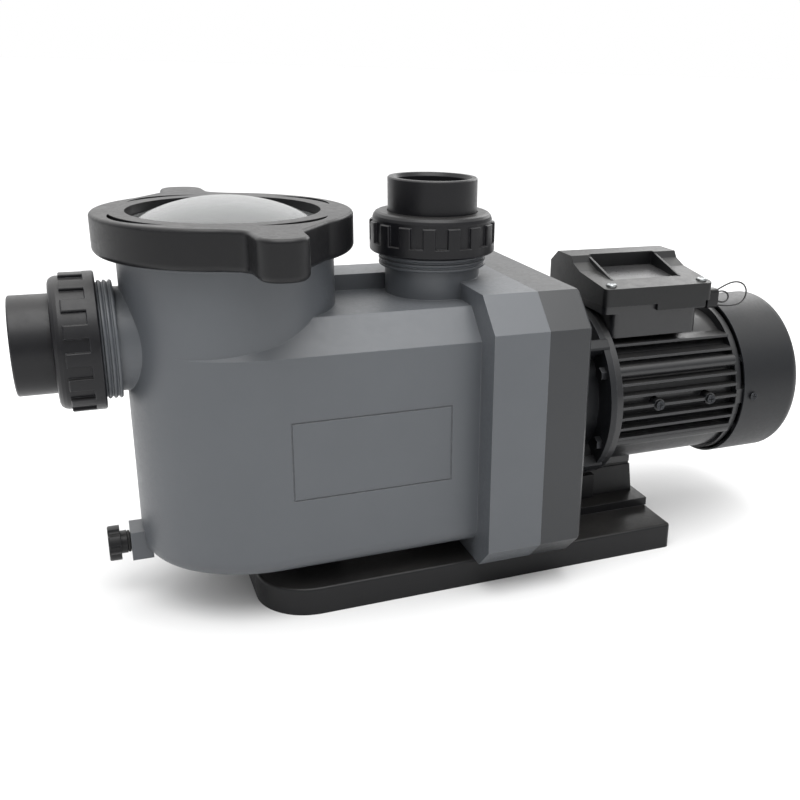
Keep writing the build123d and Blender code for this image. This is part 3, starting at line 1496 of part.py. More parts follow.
def is_smooth(vertex, plan):
    """True where the two edges of an outline that meet at a vertex are tangent."""
    edges = [e for e in plan.edges() if (e.distance_to(vertex) < 0.001)]
    if len(edges) != 2:
        return True
    first, second = (e.tangent_at(e.param_at_point(Vector(vertex.X, vertex.Y, vertex.Z))) for e in edges)
    angle = first.get_angle(second)
    return min(angle, 180.0 - angle) < 2.0


def make_lock_ring():
    plan = ring_outline()
    skirt = pot_thread_radius + thread_gap + 0.2
    roof_z = lid_flange_top_z + slide_gap
    with BuildPart() as lock_ring:
        with BuildSketch(Plane.XY.offset(ring_bottom_z)):
            with Locations((pot_x, 0)):
                add(plan.sketch)
        extrude(amount=ring_top_z - ring_bottom_z)
        fillet(lock_ring.faces().sort_by(Axis.Z)[-1].edges(), 3.0)
        fillet(lock_ring.faces().sort_by(Axis.Z)[0].edges(), 5.0)
        with Locations((pot_x, 0, ring_bottom_z - 1.0)):
            Cylinder(skirt, roof_z - ring_bottom_z + 1.0, align=UP, mode=Mode.SUBTRACT)
            Cylinder(ring_opening, 60.0, align=UP, mode=Mode.SUBTRACT)
        # Four crescent recesses in the top face.
        with BuildSketch(Plane(origin=(pot_x, 0, ring_top_z))):
            for middle in (-150.0, -60.0, 30.0, 120.0):
                with BuildLine():
                    crescent = CenterArc((0, 0), ring_radius - 13.0, middle - 23.0, 46.0)
                    far_side = Vector(ring_radius - 6.0, 0).rotate(Axis.Z, middle)
                    ThreePointArc(crescent @ 0, far_side, crescent @ 1)
                make_face()
        extrude(amount=-4.0, mode=Mode.SUBTRACT)
    save(lock_ring, "lock_ring")


def make_basket():
    rim_top = basket_rim_z + slide_gap + 4.0
    rim_outer = pot_bore - 1.0
    low = basket_bottom_z
    with BuildPart() as strainer_basket:
        add(
            about_pot(
                (0, low), (basket_bottom_radius - 4.0, low), (basket_bottom_radius, low + 4.0),
                (basket_top_radius, basket_rim_z + slide_gap), (rim_outer, basket_rim_z + slide_gap),
                (rim_outer, rim_top), (basket_top_radius - basket_wall, rim_top),
                (
                    basket_bottom_radius - basket_wall, low + 5.0,
                ), (basket_bottom_radius - 6.0, low + basket_wall),
                (0, low + basket_wall),
            ).part
        )
        # Slots round the wall in rows, holes in the floor, window towards the suction port.
        for row in range(6):
            with BuildSketch(Plane.XY.offset(low + 12.0 + row * 30.0)):
                with Locations((pot_x, 0)):
                    with PolarLocations(basket_top_radius - 2.0, 30):
                        Rectangle(14.0, 4.4)
            extrude(amount=22.0, mode=Mode.SUBTRACT)
        with BuildSketch(Plane.XY.offset(low - 1.0)):
            with Locations((pot_x, 0)):
                for radius, count in ((14.0, 8), (26.0, 14), (38.0, 20), (49.0, 26)):
                    with PolarLocations(radius, count):
                        Circle(2.4)
        extrude(amount=basket_wall + 2.0, mode=Mode.SUBTRACT)
        window = Plane(origin=(pot_x - 40.0, 0, suction_z), z_dir=(-1, 0, 0))
        with Locations(window):
            Cylinder(basket_window, 40.0, align=UP, mode=Mode.SUBTRACT)
        with Locations((pot_x - basket_top_radius, 0, basket_rim_z + slide_gap)):
            Box(12.0, 80.0, 4.0, align=(Align.MIN, Align.CENTER, Align.MIN))
        # Ears that carry the bail.
        for side in (-1, 1):
            with Locations((pot_x, side * (bail_span + 3.4), rim_top - 0.5)):
                Box(11.0, 4.0, bail_z - rim_top + 5.5, align=UP)
            hole = Plane(origin=(pot_x, side * (bail_span + 1.0), bail_z), z_dir=(0, side, 0))
            with Locations(hole):
                Cylinder(2.0 + run_gap, 6.0, align=UP, mode=Mode.SUBTRACT)
    save(strainer_basket, "strainer_basket")

    with BuildPart() as basket_handle:
        leg_y = bail_span - 2.5
        with BuildLine() as bail:
            FilletPolyline(
                (pot_x + 2.0, -leg_y, bail_z), (pot_x + bail_rise, -leg_y, bail_z),
                (pot_x + bail_rise, leg_y, bail_z), (pot_x + 2.0, leg_y, bail_z), radius=30.0,
            )
        with BuildSketch(Plane(origin=bail.wire() @ 0, z_dir=bail.wire() % 0)):
            Circle(bail_thickness / 2)
        sweep(path=bail.wire())
        for side in (-1, 1):
            with Locations(Plane(origin=(pot_x, side * (leg_y - 3.0), bail_z), z_dir=(0, side, 0))):
                Cylinder(4.0, 6.0, align=UP)
                Cylinder(2.0, 11.0, align=UP)
    save(basket_handle, "basket_handle")


# ================================================================ drain plug
def make_drain_plug():
    collar = 2.8
    knob = 8.0
    end = 17.5
    with BuildPart() as drain_plug:
        add(
            about_port(
                drain_port, (0, -14.0), (drain_shank_radius - 1.0, -14.0), (drain_shank_radius, -13.0),
                (drain_shank_radius, collar), (9.5, collar), (9.5, knob), (0, knob),
            ).part
        )
        grip = Plane(
            origin=drain_port.origin + drain_port.z_dir * knob, x_dir=drain_port.x_dir,
            z_dir=drain_port.z_dir,
        )
        with BuildSketch(grip):
            Circle(drain_knob_radius)
            with PolarLocations(drain_knob_radius + 2.2, 6):
                Circle(4.4, mode=Mode.SUBTRACT)
        extrude(amount=end - knob)
        fillet(drain_plug.faces().sort_by(Axis.X)[0].edges(), 1.5)
    save(drain_plug, "drain_plug")
    ring = 1.2
    with BuildPart() as drain_oring:
        with BuildSketch(section_plane(drain_port)):
            with Locations((drain_shank_radius + run_gap + ring, slide_gap + ring)):
                Circle(ring)
        revolve(axis=port_axis(drain_port))
    save(drain_oring, "drain_oring")


def main():
    make_base()
    make_pedestal()
    make_pump_body()
    make_seal_plate()
    make_hydraulics()
    make_rotor()
    make_bracket()
    make_end_shields()
    make_frame()
    make_stator()
    make_cowl()
    make_terminal_box()
    make_terminal_lid()
    make_leads()
    make_union(suction_port, "suction")
    make_union(discharge_port, "discharge")
    make_lid()
    make_lock_ring()
    make_basket()
    make_drain_plug()


main()
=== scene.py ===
"""Looks, motor leads and small fittings of a self-priming pool pump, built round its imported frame.

Metres. The origin is on the floor under the middle of the base plate, +X runs from the strainer
pot to the motor and +Z is up.
"""
import logging
import math
from collections.abc import Iterable, Sequence
from dataclasses import dataclass
from enum import Enum

import bmesh
import bpy
from mathutils import Matrix, Vector


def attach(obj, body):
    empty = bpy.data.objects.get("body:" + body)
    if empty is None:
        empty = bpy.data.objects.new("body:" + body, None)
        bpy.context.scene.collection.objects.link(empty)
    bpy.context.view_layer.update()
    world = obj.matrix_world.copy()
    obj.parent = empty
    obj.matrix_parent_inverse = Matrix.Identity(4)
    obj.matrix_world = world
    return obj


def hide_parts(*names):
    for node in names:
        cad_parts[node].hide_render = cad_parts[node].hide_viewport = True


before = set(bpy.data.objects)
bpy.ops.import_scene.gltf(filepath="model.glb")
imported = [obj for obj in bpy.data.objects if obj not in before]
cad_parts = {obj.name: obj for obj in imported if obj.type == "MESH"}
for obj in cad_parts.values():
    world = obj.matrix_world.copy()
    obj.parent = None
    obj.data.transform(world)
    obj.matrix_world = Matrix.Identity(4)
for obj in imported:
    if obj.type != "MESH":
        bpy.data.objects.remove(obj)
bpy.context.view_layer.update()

log = logging.getLogger("pool_pump")
logging.basicConfig(level=logging.INFO, format="%(message)s")

MM = 0.001
SCUFF_MM = 7.0
SHARPEST_ANGLE = math.radians(35)
WELD_DISTANCE = 0.02 * MM
# Dot product of the rounded and the true normal, on a flat face and on an edge lightened by rubbing and a
# painted highlight.
FLAT_DOT, EDGE_DOT = 0.995, 0.85
# Noise levels between which the edge wear and painted edge highlight go from their least to their full
# strength.
WEAR_AND_HIGHLIGHT_NOISE = (0.42, 0.62)
LEAST_WEAR_AND_HIGHLIGHT = 0.25


# ---------------------------------------------------------------- shader helpers
def linear(code: str) -> tuple[float, float, float, float]:
    """Turn an sRGB hex colour into linear RGBA.

    Args:
        code: six hex digits.

    Returns:
        The colour as linear red, green, blue and an alpha of 1.
    """
    channels = [int(code[i:i + 2], 16) / 255 for i in (0, 2, 4)]
    rgb = [c / 12.92 if c <= 0.04045 else ((c + 0.055) / 1.055) ** 2.4 for c in channels]
    return (rgb[0], rgb[1], rgb[2], 1.0)


def add_node(
    tree: bpy.types.NodeTree, kind: str, sockets: dict[str | int, object] | None = None, **settings: object
) -> bpy.types.Node:
    """Add a shader node with its settings, values and links.

    Args:
        tree: the material's node tree.
        kind: the node's type name.
        sockets: for each input, a value or the output socket that feeds it.
        settings: the node's own properties.

    Returns:
        The new node.
    """
    node = tree.nodes.new(kind)
    for name, value in settings.items():
        setattr(node, name, value)
    for socket, value in (sockets or {}).items():
        if isinstance(value, bpy.types.NodeSocket):
            tree.links.new(value, node.inputs[socket])
        else:
            node.inputs[socket].default_value = value
    return node


def per_metre(size_mm: float) -> float:
    """Texture scale at which one feature of a noise is this many millimetres across."""
    return 1.0 / (size_mm * MM)


@dataclass(frozen=True)
class Finish:
    """A surface: its colours, gloss and grain, its edges lightened partly by wear and partly by a painted
    highlight, and how its upper faces gather dust.
    """

    name: str
    colour: str
    shade: str
    roughness: float
    ior: float = 1.5
    metallic: float = 0.0
    cloud_mm: float = 45.0
    grain_mm: float = 0.9
    grain_depth: float = 0.05
    edge_mm: float = 0.8
    # Pale edge colour and its strength: partly rubbed wear, partly a painted highlight.
    edge_wear_and_highlight_colour: str = "8A8C8E"
    edge_wear_and_highlight: float = 0.25
    dust: float = 0.10
    dust_colour: str = "8F8C86"
    coat: float = 0.0
    shine: float = 0.5

    def make(self) -> bpy.types.Material:
        """Build the material.

        Returns:
            A material whose colour, roughness and bump all vary over the surface.
        """
        material = bpy.data.materials.new(self.name)
        material.use_nodes = True
        tree = material.node_tree
        tree.nodes.clear()
        place = add_node(tree, "ShaderNodeTexCoord")
        where = place.outputs["Object"]
        clouds = add_node(
            tree, "ShaderNodeTexNoise",
            {"Vector": where, "Scale": per_metre(self.cloud_mm), "Detail": 5.0, "Roughness": 0.6},
        )
        scuffs = add_node(
            tree, "ShaderNodeTexNoise",
            {
                "Vector": where, "Scale": per_metre(SCUFF_MM), "Detail": 6.0, "Roughness": 0.7,
                "Distortion": 1.5,
            },
        )
        grain = self.grain(tree, where)
        mixed = add_node(
            tree, "ShaderNodeMix",
            {"Factor": clouds.outputs["Fac"], "A": linear(self.colour), "B": linear(self.shade)},
            data_type="RGBA",
        )
        rounded = add_node(tree, "ShaderNodeBevel", {"Radius": self.edge_mm * MM}, samples=4)
        worn_and_highlit = self.wear_and_highlight(tree, mixed.outputs["Result"], rounded.outputs["Normal"], scuffs.outputs["Fac"])
        dusty = self.settle(tree, worn_and_highlit, place.outputs["Normal"], clouds.outputs["Fac"])
        gloss = add_node(
            tree, "ShaderNodeMapRange",
            {
                "Value": scuffs.outputs["Fac"], "From Min": 0.3, "From Max": 0.75,
                "To Min": max(0.04, self.roughness - 0.05), "To Max": min(1.0, self.roughness + 0.09),
            },
        )
        bump = add_node(
            tree, "ShaderNodeBump",
            {
                "Strength": 0.6, "Distance": self.grain_depth * MM, "Height": grain,
                "Normal": rounded.outputs["Normal"],
            },
        )
        shader = add_node(
            tree, "ShaderNodeBsdfPrincipled",
            {
                "Base Color": dusty, "Roughness": gloss.outputs["Result"], "Normal": bump.outputs["Normal"],
                "Metallic": self.metallic, "Coat Weight": self.coat, "Coat Roughness": 0.12,
                "Specular IOR Level": self.shine,
            },
        )
        if not self.metallic:
            shader.inputs["IOR"].default_value = self.ior
        self.finish(shader)
        add_node(tree, "ShaderNodeOutputMaterial", {"Surface": shader.outputs["BSDF"]})
        return material

    def grain(self, tree: bpy.types.NodeTree, where: bpy.types.NodeSocket) -> bpy.types.NodeSocket:
        """Height of the fine surface texture.

        Args:
            tree: the material's node tree.
            where: the position to read it at.

        Returns:
            The height socket.
        """
        noise = add_node(
            tree, "ShaderNodeTexNoise",
            {"Vector": where, "Scale": per_metre(self.grain_mm), "Detail": 3.0, "Roughness": 0.55},
        )
        return noise.outputs["Fac"]

    def wear_and_highlight(
        self, tree: bpy.types.NodeTree, colour: bpy.types.NodeSocket, rounded: bpy.types.NodeSocket,
        scuffs: bpy.types.NodeSocket,
    ) -> bpy.types.NodeSocket:
        """Lighten the edges, in patches: partly rubbed wear, partly a painted highlight.

        Args:
            tree: the material's node tree.
            colour: the colour so far.
            rounded: normals rounded over at the edges.
            scuffs: noise that breaks up the wear and the painted highlight.

        Returns:
            The colour with its edges worn and lit by a painted highlight.
        """
        surface = add_node(tree, "ShaderNodeNewGeometry")
        same = add_node(
            tree, "ShaderNodeVectorMath", {0: rounded, 1: surface.outputs["Normal"]}, operation="DOT_PRODUCT"
        )
        edge = add_node(
            tree, "ShaderNodeMapRange",
            {
                "Value": same.outputs["Value"], "From Min": FLAT_DOT, "From Max": EDGE_DOT,
                "To Min": 0.0, "To Max": 1.0,
            },
        )
        patchy = add_node(
            tree, "ShaderNodeMapRange",
            {
                "Value": scuffs, "From Min": WEAR_AND_HIGHLIGHT_NOISE[0], "From Max": WEAR_AND_HIGHLIGHT_NOISE[1],
                "To Min": LEAST_WEAR_AND_HIGHLIGHT, "To Max": 1.0,
            },
        )
        amount = add_node(
            tree, "ShaderNodeMath", {0: edge.outputs["Result"], 1: patchy.outputs["Result"]},
            operation="MULTIPLY",
        )
        scaled = add_node(
            tree, "ShaderNodeMath", {0: amount.outputs["Value"], 1: self.edge_wear_and_highlight}, operation="MULTIPLY"
        )
        # Painted highlight: edges are mixed towards a pale colour, partly real wear, partly standing for
        # light catching along them.
        wear_and_highlight_mix = add_node(
            tree, "ShaderNodeMix",
            {"Factor": scaled.outputs["Value"], "A": colour, "B": linear(self.edge_wear_and_highlight_colour)},
            data_type="RGBA",
        )
        return wear_and_highlight_mix.outputs["Result"]

    def settle(
        self, tree: bpy.types.NodeTree, colour: bpy.types.NodeSocket, normal: bpy.types.NodeSocket,
        clouds: bpy.types.NodeSocket,
    ) -> bpy.types.NodeSocket:
        """Lay a thin, uneven film of dust on the faces that point up.

        Args:
            tree: the material's node tree.
            colour: the colour so far.
            normal: the surface's own normal.
            clouds: noise that makes the film uneven.

        Returns:
            The dusty colour.
        """
        parts = add_node(tree, "ShaderNodeSeparateXYZ", {"Vector": normal})
        upward = add_node(
            tree, "ShaderNodeMapRange",
            {
                "Value": parts.outputs["Z"], "From Min": 0.5, "From Max": 1.0,
                "To Min": 0.0, "To Max": self.dust,
            },
        )
        amount = add_node(
            tree, "ShaderNodeMath", {0: upward.outputs["Result"], 1: clouds}, operation="MULTIPLY"
        )
        film = add_node(
            tree, "ShaderNodeMix",
            {"Factor": amount.outputs["Value"], "A": colour, "B": linear(self.dust_colour)},
            data_type="RGBA",
        )
        return film.outputs["Result"]

    def finish(self, shader: bpy.types.Node) -> None:
        """Last settings of the shader; most finishes have none."""


@dataclass(frozen=True)
class Sheen(Finish):
    """A soft finish such as rubber, with a pale bloom at grazing angles."""

    def finish(self, shader: bpy.types.Node) -> None:
        """Give the shader its bloom."""
        shader.inputs["Sheen Weight"].default_value = 0.12
        shader.inputs["Sheen Roughness"].default_value = 0.4


@dataclass(frozen=True)
class Clear(Finish):
    """A see-through plastic that lets most of the light pass."""

    passes: float = 0.8

    def finish(self, shader: bpy.types.Node) -> None:
        """Let the light through the shader."""
        shader.inputs["Transmission Weight"].default_value = self.passes


@dataclass(frozen=True)
class Banded(Finish):
    """A finish with fine parallel bands, such as stacked laminations or wound wire."""

    band_mm: float = 1.4
    along: str = "X"

    def grain(self, tree: bpy.types.NodeTree, where: bpy.types.NodeSocket) -> bpy.types.NodeSocket:
        """Height of the bands.

        Args:
            tree: the material's node tree.
            where: the position to read it at.

        Returns:
            The height socket.
        """
        waves = add_node(
            tree, "ShaderNodeTexWave",
            {"Vector": where, "Scale": per_metre(self.band_mm) / math.tau, "Distortion": 0.6, "Detail": 2.0},
            bands_direction=self.along,
        )
        return waves.outputs["Fac"]


class Surface(Enum):
    """The finishes of the pump, each named for what the real one is."""

    # Glass-filled polypropylene, injection moulded: mid grey, satin, with faint flow clouds.
    BODY = Finish("glass_filled_polypropylene", "4F5256", "4A4D51", 0.42, ior=1.49, edge_wear_and_highlight=0.3,
                  edge_wear_and_highlight_colour="A2A5A8", grain_mm=0.8, grain_depth=0.05)
    # The same resin with carbon black: dark grey seal plate with a slight gloss.
    PLATE = Finish("dark_glass_filled_polypropylene", "232528", "1F2123", 0.36, ior=1.49, edge_wear_and_highlight=0.3,
                   edge_wear_and_highlight_colour="7C7E82", grain_mm=0.8)
    # Moulded ABS ring, base and unions: near-black satin.
    BLACK = Finish("moulded_black_abs", "101012", "0C0C0E", 0.38, ior=1.54, shine=0.26, edge_wear_and_highlight=0.32,
                   edge_wear_and_highlight_colour="6A6B70", grain_mm=1.0)
    # Turned or moulded PVC-U union parts: smooth, near-black, a little shinier.
    UNION = Finish("moulded_black_pvc", "0F0F12", "0C0C0F", 0.36, ior=1.53, shine=0.26, edge_wear_and_highlight=0.35,
                   edge_wear_and_highlight_colour="74757A", grain_mm=1.6, grain_depth=0.02)
    # Die-cast aluminium motor under black enamel: orange-peel and a thin gloss coat.
    ENAMEL = Finish("black_enamelled_cast_aluminium", "0C0D11", "08090C", 0.42, grain_mm=1.8,
                    grain_depth=0.07, edge_wear_and_highlight=0.35, edge_wear_and_highlight_colour="6F7378", coat=0.25)
    # Pressed steel fan cowl, powder coated: charcoal, fine pebbled skin. Also on the motor bracket, where its
    # paler colour is painted light that lifts the bracket out of its shade.
    POWDER = Finish("powder_coated_steel", "15171A", "121316", 0.45, shine=0.35, grain_mm=1.1,
                    grain_depth=0.06, edge_wear_and_highlight=0.3, edge_wear_and_highlight_colour="6D7076")
    # Terminal box of black polycarbonate: polished mould, clear reflections.
    BOX = Finish("polished_black_polycarbonate", "0B0C0E", "08090A", 0.42, ior=1.585, shine=0.3, grain_mm=2.5,
                 grain_depth=0.02, edge_wear_and_highlight=0.25, edge_wear_and_highlight_colour="7A7C80")
    # Clear polycarbonate lid, slightly smoked and hazed by sun.
    LID = Clear("smoked_clear_polycarbonate", "A3A6A6", "989B9B", 0.12, ior=1.585, grain_mm=6.0,
                grain_depth=0.02, edge_wear_and_highlight=0.1, edge_wear_and_highlight_colour="E6E8E8", dust=0.25, dust_colour="B9B7B2")
    # Natural white polypropylene basket, a little yellowed by the water.
    BASKET = Finish("natural_polypropylene", "D5D3C8", "C8C4B4", 0.45, ior=1.49, edge_wear_and_highlight=0.1,
                    edge_wear_and_highlight_colour="F0EFE8")
    # Glass-filled noryl impeller and diffuser: matt black.
    HYDRAULIC = Finish("glass_filled_noryl", "232427", "1E1F21", 0.5, ior=1.57, edge_wear_and_highlight_colour="77797C")
    # Turned stainless steel, with fine tool marks round the shaft.
    STAINLESS = Banded("turned_stainless_steel", "B9BABB", "AEAFB0", 0.25, metallic=1.0, band_mm=0.8,
                       grain_depth=0.01, edge_wear_and_highlight=0.2, edge_wear_and_highlight_colour="E2E3E4", dust=0.0)
    # Black phosphated steel fasteners: dark, faintly oily.
    BLACK_STEEL = Finish("black_phosphated_steel", "3A3B3E", "2E2F31", 0.42, metallic=1.0, cloud_mm=4.0,
                         grain_mm=0.5, grain_depth=0.02, edge_wear_and_highlight=0.35, edge_wear_and_highlight_colour="8C8E91", dust=0.05)
    # Bright zinc plate on screws: cool grey with a faint cloudiness.
    ZINC = Finish("zinc_plated_steel", "A9ACAD", "989B9C", 0.32, metallic=1.0, cloud_mm=4.0,
                  grain_mm=0.5, grain_depth=0.02, edge_wear_and_highlight=0.3, edge_wear_and_highlight_colour="D5D8D9", dust=0.05)
    # Black nitrile rubber: matt, with a grey bloom.
    RUBBER = Sheen("nitrile_rubber", "161616", "1C1C1C", 0.72, ior=1.52, grain_mm=0.7,
                   edge_wear_and_highlight=0.1, edge_wear_and_highlight_colour="3A3A3A")
    # Lapped alumina seal face: ivory and faintly glossy.
    CERAMIC = Finish("lapped_alumina", "E5E0D3", "DCD6C6", 0.18, ior=1.76, grain_depth=0.01,
                     edge_wear_and_highlight=0.1, edge_wear_and_highlight_colour="F5F2EA", dust=0.0)
    # Varnished copper winding wire: amber over copper, ridged by the turns.
    COPPER = Banded("varnished_copper_wire", "A5602F", "8C4E25", 0.3, metallic=0.9, band_mm=1.6,
                    grain_depth=0.35, along="DIAGONAL", edge_wear_and_highlight_colour="D08850", dust=0.0)
    # Stacked electrical steel: blue-grey, ridged every sheet.
    LAMINATION = Banded("stacked_electrical_steel", "6B6E73", "5C5F64", 0.45, metallic=0.8, band_mm=1.4,
                        grain_depth=0.12, edge_wear_and_highlight_colour="A0A3A7", dust=0.0)
    # Blank polyester rating label: dark grey film with a soft sheen.
    LABEL = Finish("dark_polyester_label", "1C1D20", "18191C", 0.3, ior=1.6, grain_mm=3.0, grain_depth=0.01,
                   edge_wear_and_highlight=0.2, edge_wear_and_highlight_colour="7A7C80")
    # White nylon terminal block.
    NYLON = Finish("white_nylon", "D9D8D2", "CECCC4", 0.4, ior=1.53, edge_wear_and_highlight=0.1, edge_wear_and_highlight_colour="F2F1EC")
    # Black PVC wire insulation: smooth and slightly waxy.
    INSULATION = Sheen("black_pvc_insulation", "141416", "1A1A1C", 0.42, ior=1.53, grain_mm=0.6,
                       grain_depth=0.01, edge_wear_and_highlight=0.0)

    @property
    def material(self) -> bpy.types.Material:
        """The finish's material, built the first time that it is asked for."""
        return bpy.data.materials.get(self.value.name) or self.value.make()


def dress(surface: Surface, *nodes: str) -> None:
    """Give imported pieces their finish.

    Args:
        surface: the finish.
        nodes: names of the pieces.
    """
    for name in nodes:
        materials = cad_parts[name].data.materials
        materials.clear()
        materials.append(surface.material)
        log.info("dressed %s in %s", name, surface.value.name)


# ---------------------------------------------------------------- mesh helpers
def finished(name: str, mesh: bmesh.types.BMesh, surface: Surface, body: str) -> bpy.types.Object:
    """Turn a built mesh into a piece that rides on a body.

    Args:
        name: the piece's name.
        mesh: its shape, in place; freed here.
        surface: its finish.
        body: the body that it moves with.

    Returns:
        The piece.
    """
    bmesh.ops.remove_doubles(mesh, verts=mesh.verts, dist=WELD_DISTANCE)
    bmesh.ops.recalc_face_normals(mesh, faces=mesh.faces)
    data = bpy.data.meshes.new(name)
    mesh.to_mesh(data)
    mesh.free()
    data.shade_smooth()
    data.set_sharp_from_angle(angle=SHARPEST_ANGLE)
    data.materials.append(surface.material)
    piece = bpy.data.objects.new(name, data)
    bpy.context.scene.collection.objects.link(piece)
    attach(piece, body)
    log.info("built %s, %d faces", name, len(data.polygons))
    return piece


def lathe(mesh: bmesh.types.BMesh, place: Matrix, outline: Iterable[tuple[float, float]], steps: int) -> None:
    """Turn an outline about the Z axis of a place.

    Args:
        mesh: the mesh to add to.
        place: where the axis stands.
        outline: closed outline as (radius, height) in metres.
        steps: how many steps round.
    """
    verts = [mesh.verts.new((radius, 0.0, height)) for radius, height in outline]
    edges = [mesh.edges.new((a, b)) for a, b in zip(verts, verts[1:] + verts[:1])]
    bmesh.ops.spin(
        mesh, geom=verts + edges, cent=(0, 0, 0), axis=(0, 0, 1), angle=math.tau, steps=steps, use_merge=True
    )
    moved = [v for v in mesh.verts if v.is_valid and not v.tag]
    bmesh.ops.transform(mesh, matrix=place, verts=moved)
    for vert in mesh.verts:
        vert.tag = True


# ---------------------------------------------------------------- studio
@dataclass
class Studio:
    """Camera, pale floor, white room and two soft lights."""

    camera_place: tuple[float, float, float] = (-0.30227, -0.77590, 0.43522)
    right: tuple[float, float, float] = (0.91610621, -0.39978171, 0.03039725)
    up: tuple[float, float, float] = (0.10417103, 0.31054953, 0.94483193)
    back: tuple[float, float, float] = (-0.38716638, -0.86239989, 0.32614203)
    lens: float = 43.15
    shift: tuple[float, float] = (-0.124, -0.0045)
    floor_size: float = 60.0
    eye_level: float = 0.12
    overhead: float = 2.0
    rear_glow: float = 0.75

    def set_camera(self) -> None:
        """Stand the camera to the front left of the pump, a little above it."""
        data = bpy.data.cameras.new("camera")
        data.lens = self.lens
        data.sensor_width = 36.0
        data.shift_x, data.shift_y = self.shift
        data.clip_start, data.clip_end = 0.01, 100.0
        camera = bpy.data.objects.new("camera", data)
        turn = Matrix((self.right, self.up, self.back)).transposed().to_4x4()
        camera.matrix_world = Matrix.Translation(Vector(self.camera_place)) @ turn
        bpy.context.scene.collection.objects.link(camera)
        bpy.context.scene.camera = camera

    def lay_floor(self) -> None:
        """Lay a plain pale floor that runs out of sight."""
        mesh = bmesh.new()
        bmesh.ops.create_grid(mesh, x_segments=1, y_segments=1, size=self.floor_size)
        data = bpy.data.meshes.new("floor")
        mesh.to_mesh(data)
        mesh.free()
        floor = bpy.data.objects.new("floor", data)
        material = bpy.data.materials.new("studio_floor")
        material.use_nodes = True
        shader = material.node_tree.nodes["Principled BSDF"]
        shader.inputs["Base Color"].default_value = linear("DEDEDE")
        shader.inputs["Roughness"].default_value = 0.9
        shader.inputs["Specular IOR Level"].default_value = 0.0
        data.materials.append(material)
        bpy.context.scene.collection.objects.link(floor)

    def room(self) -> bpy.types.World:
        """Make a white room that is brighter overhead than at eye level.

        Returns:
            The world.
        """
        world = bpy.data.worlds.new("studio")
        world.use_nodes = True
        tree = world.node_tree
        tree.nodes.clear()
        place = add_node(tree, "ShaderNodeTexCoord")
        parts = add_node(tree, "ShaderNodeSeparateXYZ", {"Vector": place.outputs["Generated"]})
        height = add_node(
            tree, "ShaderNodeMapRange",
            {
                "Value": parts.outputs["Z"], "From Min": 0.0, "From Max": 1.0,
                "To Min": self.eye_level, "To Max": self.overhead,
            },
        )
        behind = add_node(
            tree, "ShaderNodeMapRange",
            {
                "Value": parts.outputs["Y"], "From Min": 0.0, "From Max": 1.0,
                "To Min": 0.0, "To Max": self.rear_glow,
            },
        )
        glow = add_node(
            tree, "ShaderNodeMath", {0: height.outputs["Result"], 1: behind.outputs["Result"]},
            operation="ADD",
        )
        ray = add_node(tree, "ShaderNodeLightPath")
        strength = add_node(
            tree, "ShaderNodeMix",
            {"Factor": ray.outputs["Is Camera Ray"], "A": glow.outputs["Value"], "B": 1.0},
            data_type="FLOAT",
        )
        sky = add_node(
            tree, "ShaderNodeBackground",
            {"Color": (1.0, 1.0, 1.0, 1.0), "Strength": strength.outputs["Result"]},
        )
        add_node(tree, "ShaderNodeOutputWorld", {"Surface": sky.outputs["Background"]})
        return world

    def light(self) -> None:
        """Light the room, and hang one soft light over the pump and one behind it."""
        scene = bpy.context.scene
        scene.view_settings.view_transform = "Standard"
        scene.world = self.room()
        middle = Vector((0.0, 0.0, 0.17))
        for name, place, size, power in (
            ("overhead", (-0.1, -0.5, 1.9), 1.6, 30.0),
            ("rim", (1.5, 1.3, 1.1), 1.0, 8.0),
        ):
            data = bpy.data.lights.new(name, "AREA")
            data.size = size
            data.energy = power
            lamp = bpy.data.objects.new(name, data)
            lamp.location = place
            lamp.rotation_euler = (middle - Vector(place)).to_track_quat("-Z", "Y").to_euler()
            scene.collection.objects.link(lamp)

    def build(self) -> None:
        """Set up the studio."""
        self.set_camera()
        self.lay_floor()
        self.light()
        log.info("studio ready")


# ---------------------------------------------------------------- motor leads
@dataclass
class MotorLeads:
    """Two short wire loops that leave the clip beside the terminal box and go back into it."""

    diameter: float = 1.6 * MM
    outer_y: float = -46.5 * MM
    inner_y: float = -43.0 * MM
    outer_route: tuple[tuple[float, float], ...] = (
        (0.2460, 0.2410), (0.2570, 0.2465), (0.2680, 0.2485), (0.2775, 0.2455), (0.2820, 0.2375),
        (0.2790, 0.2290), (0.2695, 0.2250), (0.2580, 0.2255), (0.2460, 0.2270),
    )
    inner_route: tuple[tuple[float, float], ...] = (
        (0.2460, 0.2380), (0.2540, 0.2396), (0.2610, 0.2376), (0.2640, 0.2328), (0.2610, 0.2284),
        (0.2540, 0.2282), (0.2460, 0.2310),
    )

    def wire(self, name: str, y: float, route: Sequence[tuple[float, float]]) -> None:
        """Lay one wire along its route.

        Args:
            name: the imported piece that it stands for.
            y: the plane that it lies in.
            route: control points as (x, z).
        """
        data = bpy.data.curves.new(f"{name}_wire", "CURVE")
        data.dimensions = "3D"
        data.bevel_depth = self.diameter / 2
        data.bevel_resolution = 4
        data.resolution_u = 12
        data.use_fill_caps = True
        spline = data.splines.new("NURBS")
        spline.points.add(len(route) - 1)
        for point, (x, z) in zip(spline.points, route):
            point.co = (x, y, z, 1.0)
        spline.order_u = 3
        spline.use_endpoint_u = True
        data.materials.append(Surface.INSULATION.material)
        lead = bpy.data.objects.new(f"{name}_wire", data)
        bpy.context.scene.collection.objects.link(lead)
        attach(lead, "housing")
        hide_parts(name)
        log.info("laid %s", name)

    def build(self) -> None:
        """Lay both wires and dress their clip."""
        self.wire("lead_loop_outer", self.outer_y, self.outer_route)
        self.wire("lead_loop_inner", self.inner_y, self.inner_route)
        dress(Surface.BLACK, "lead_clip")


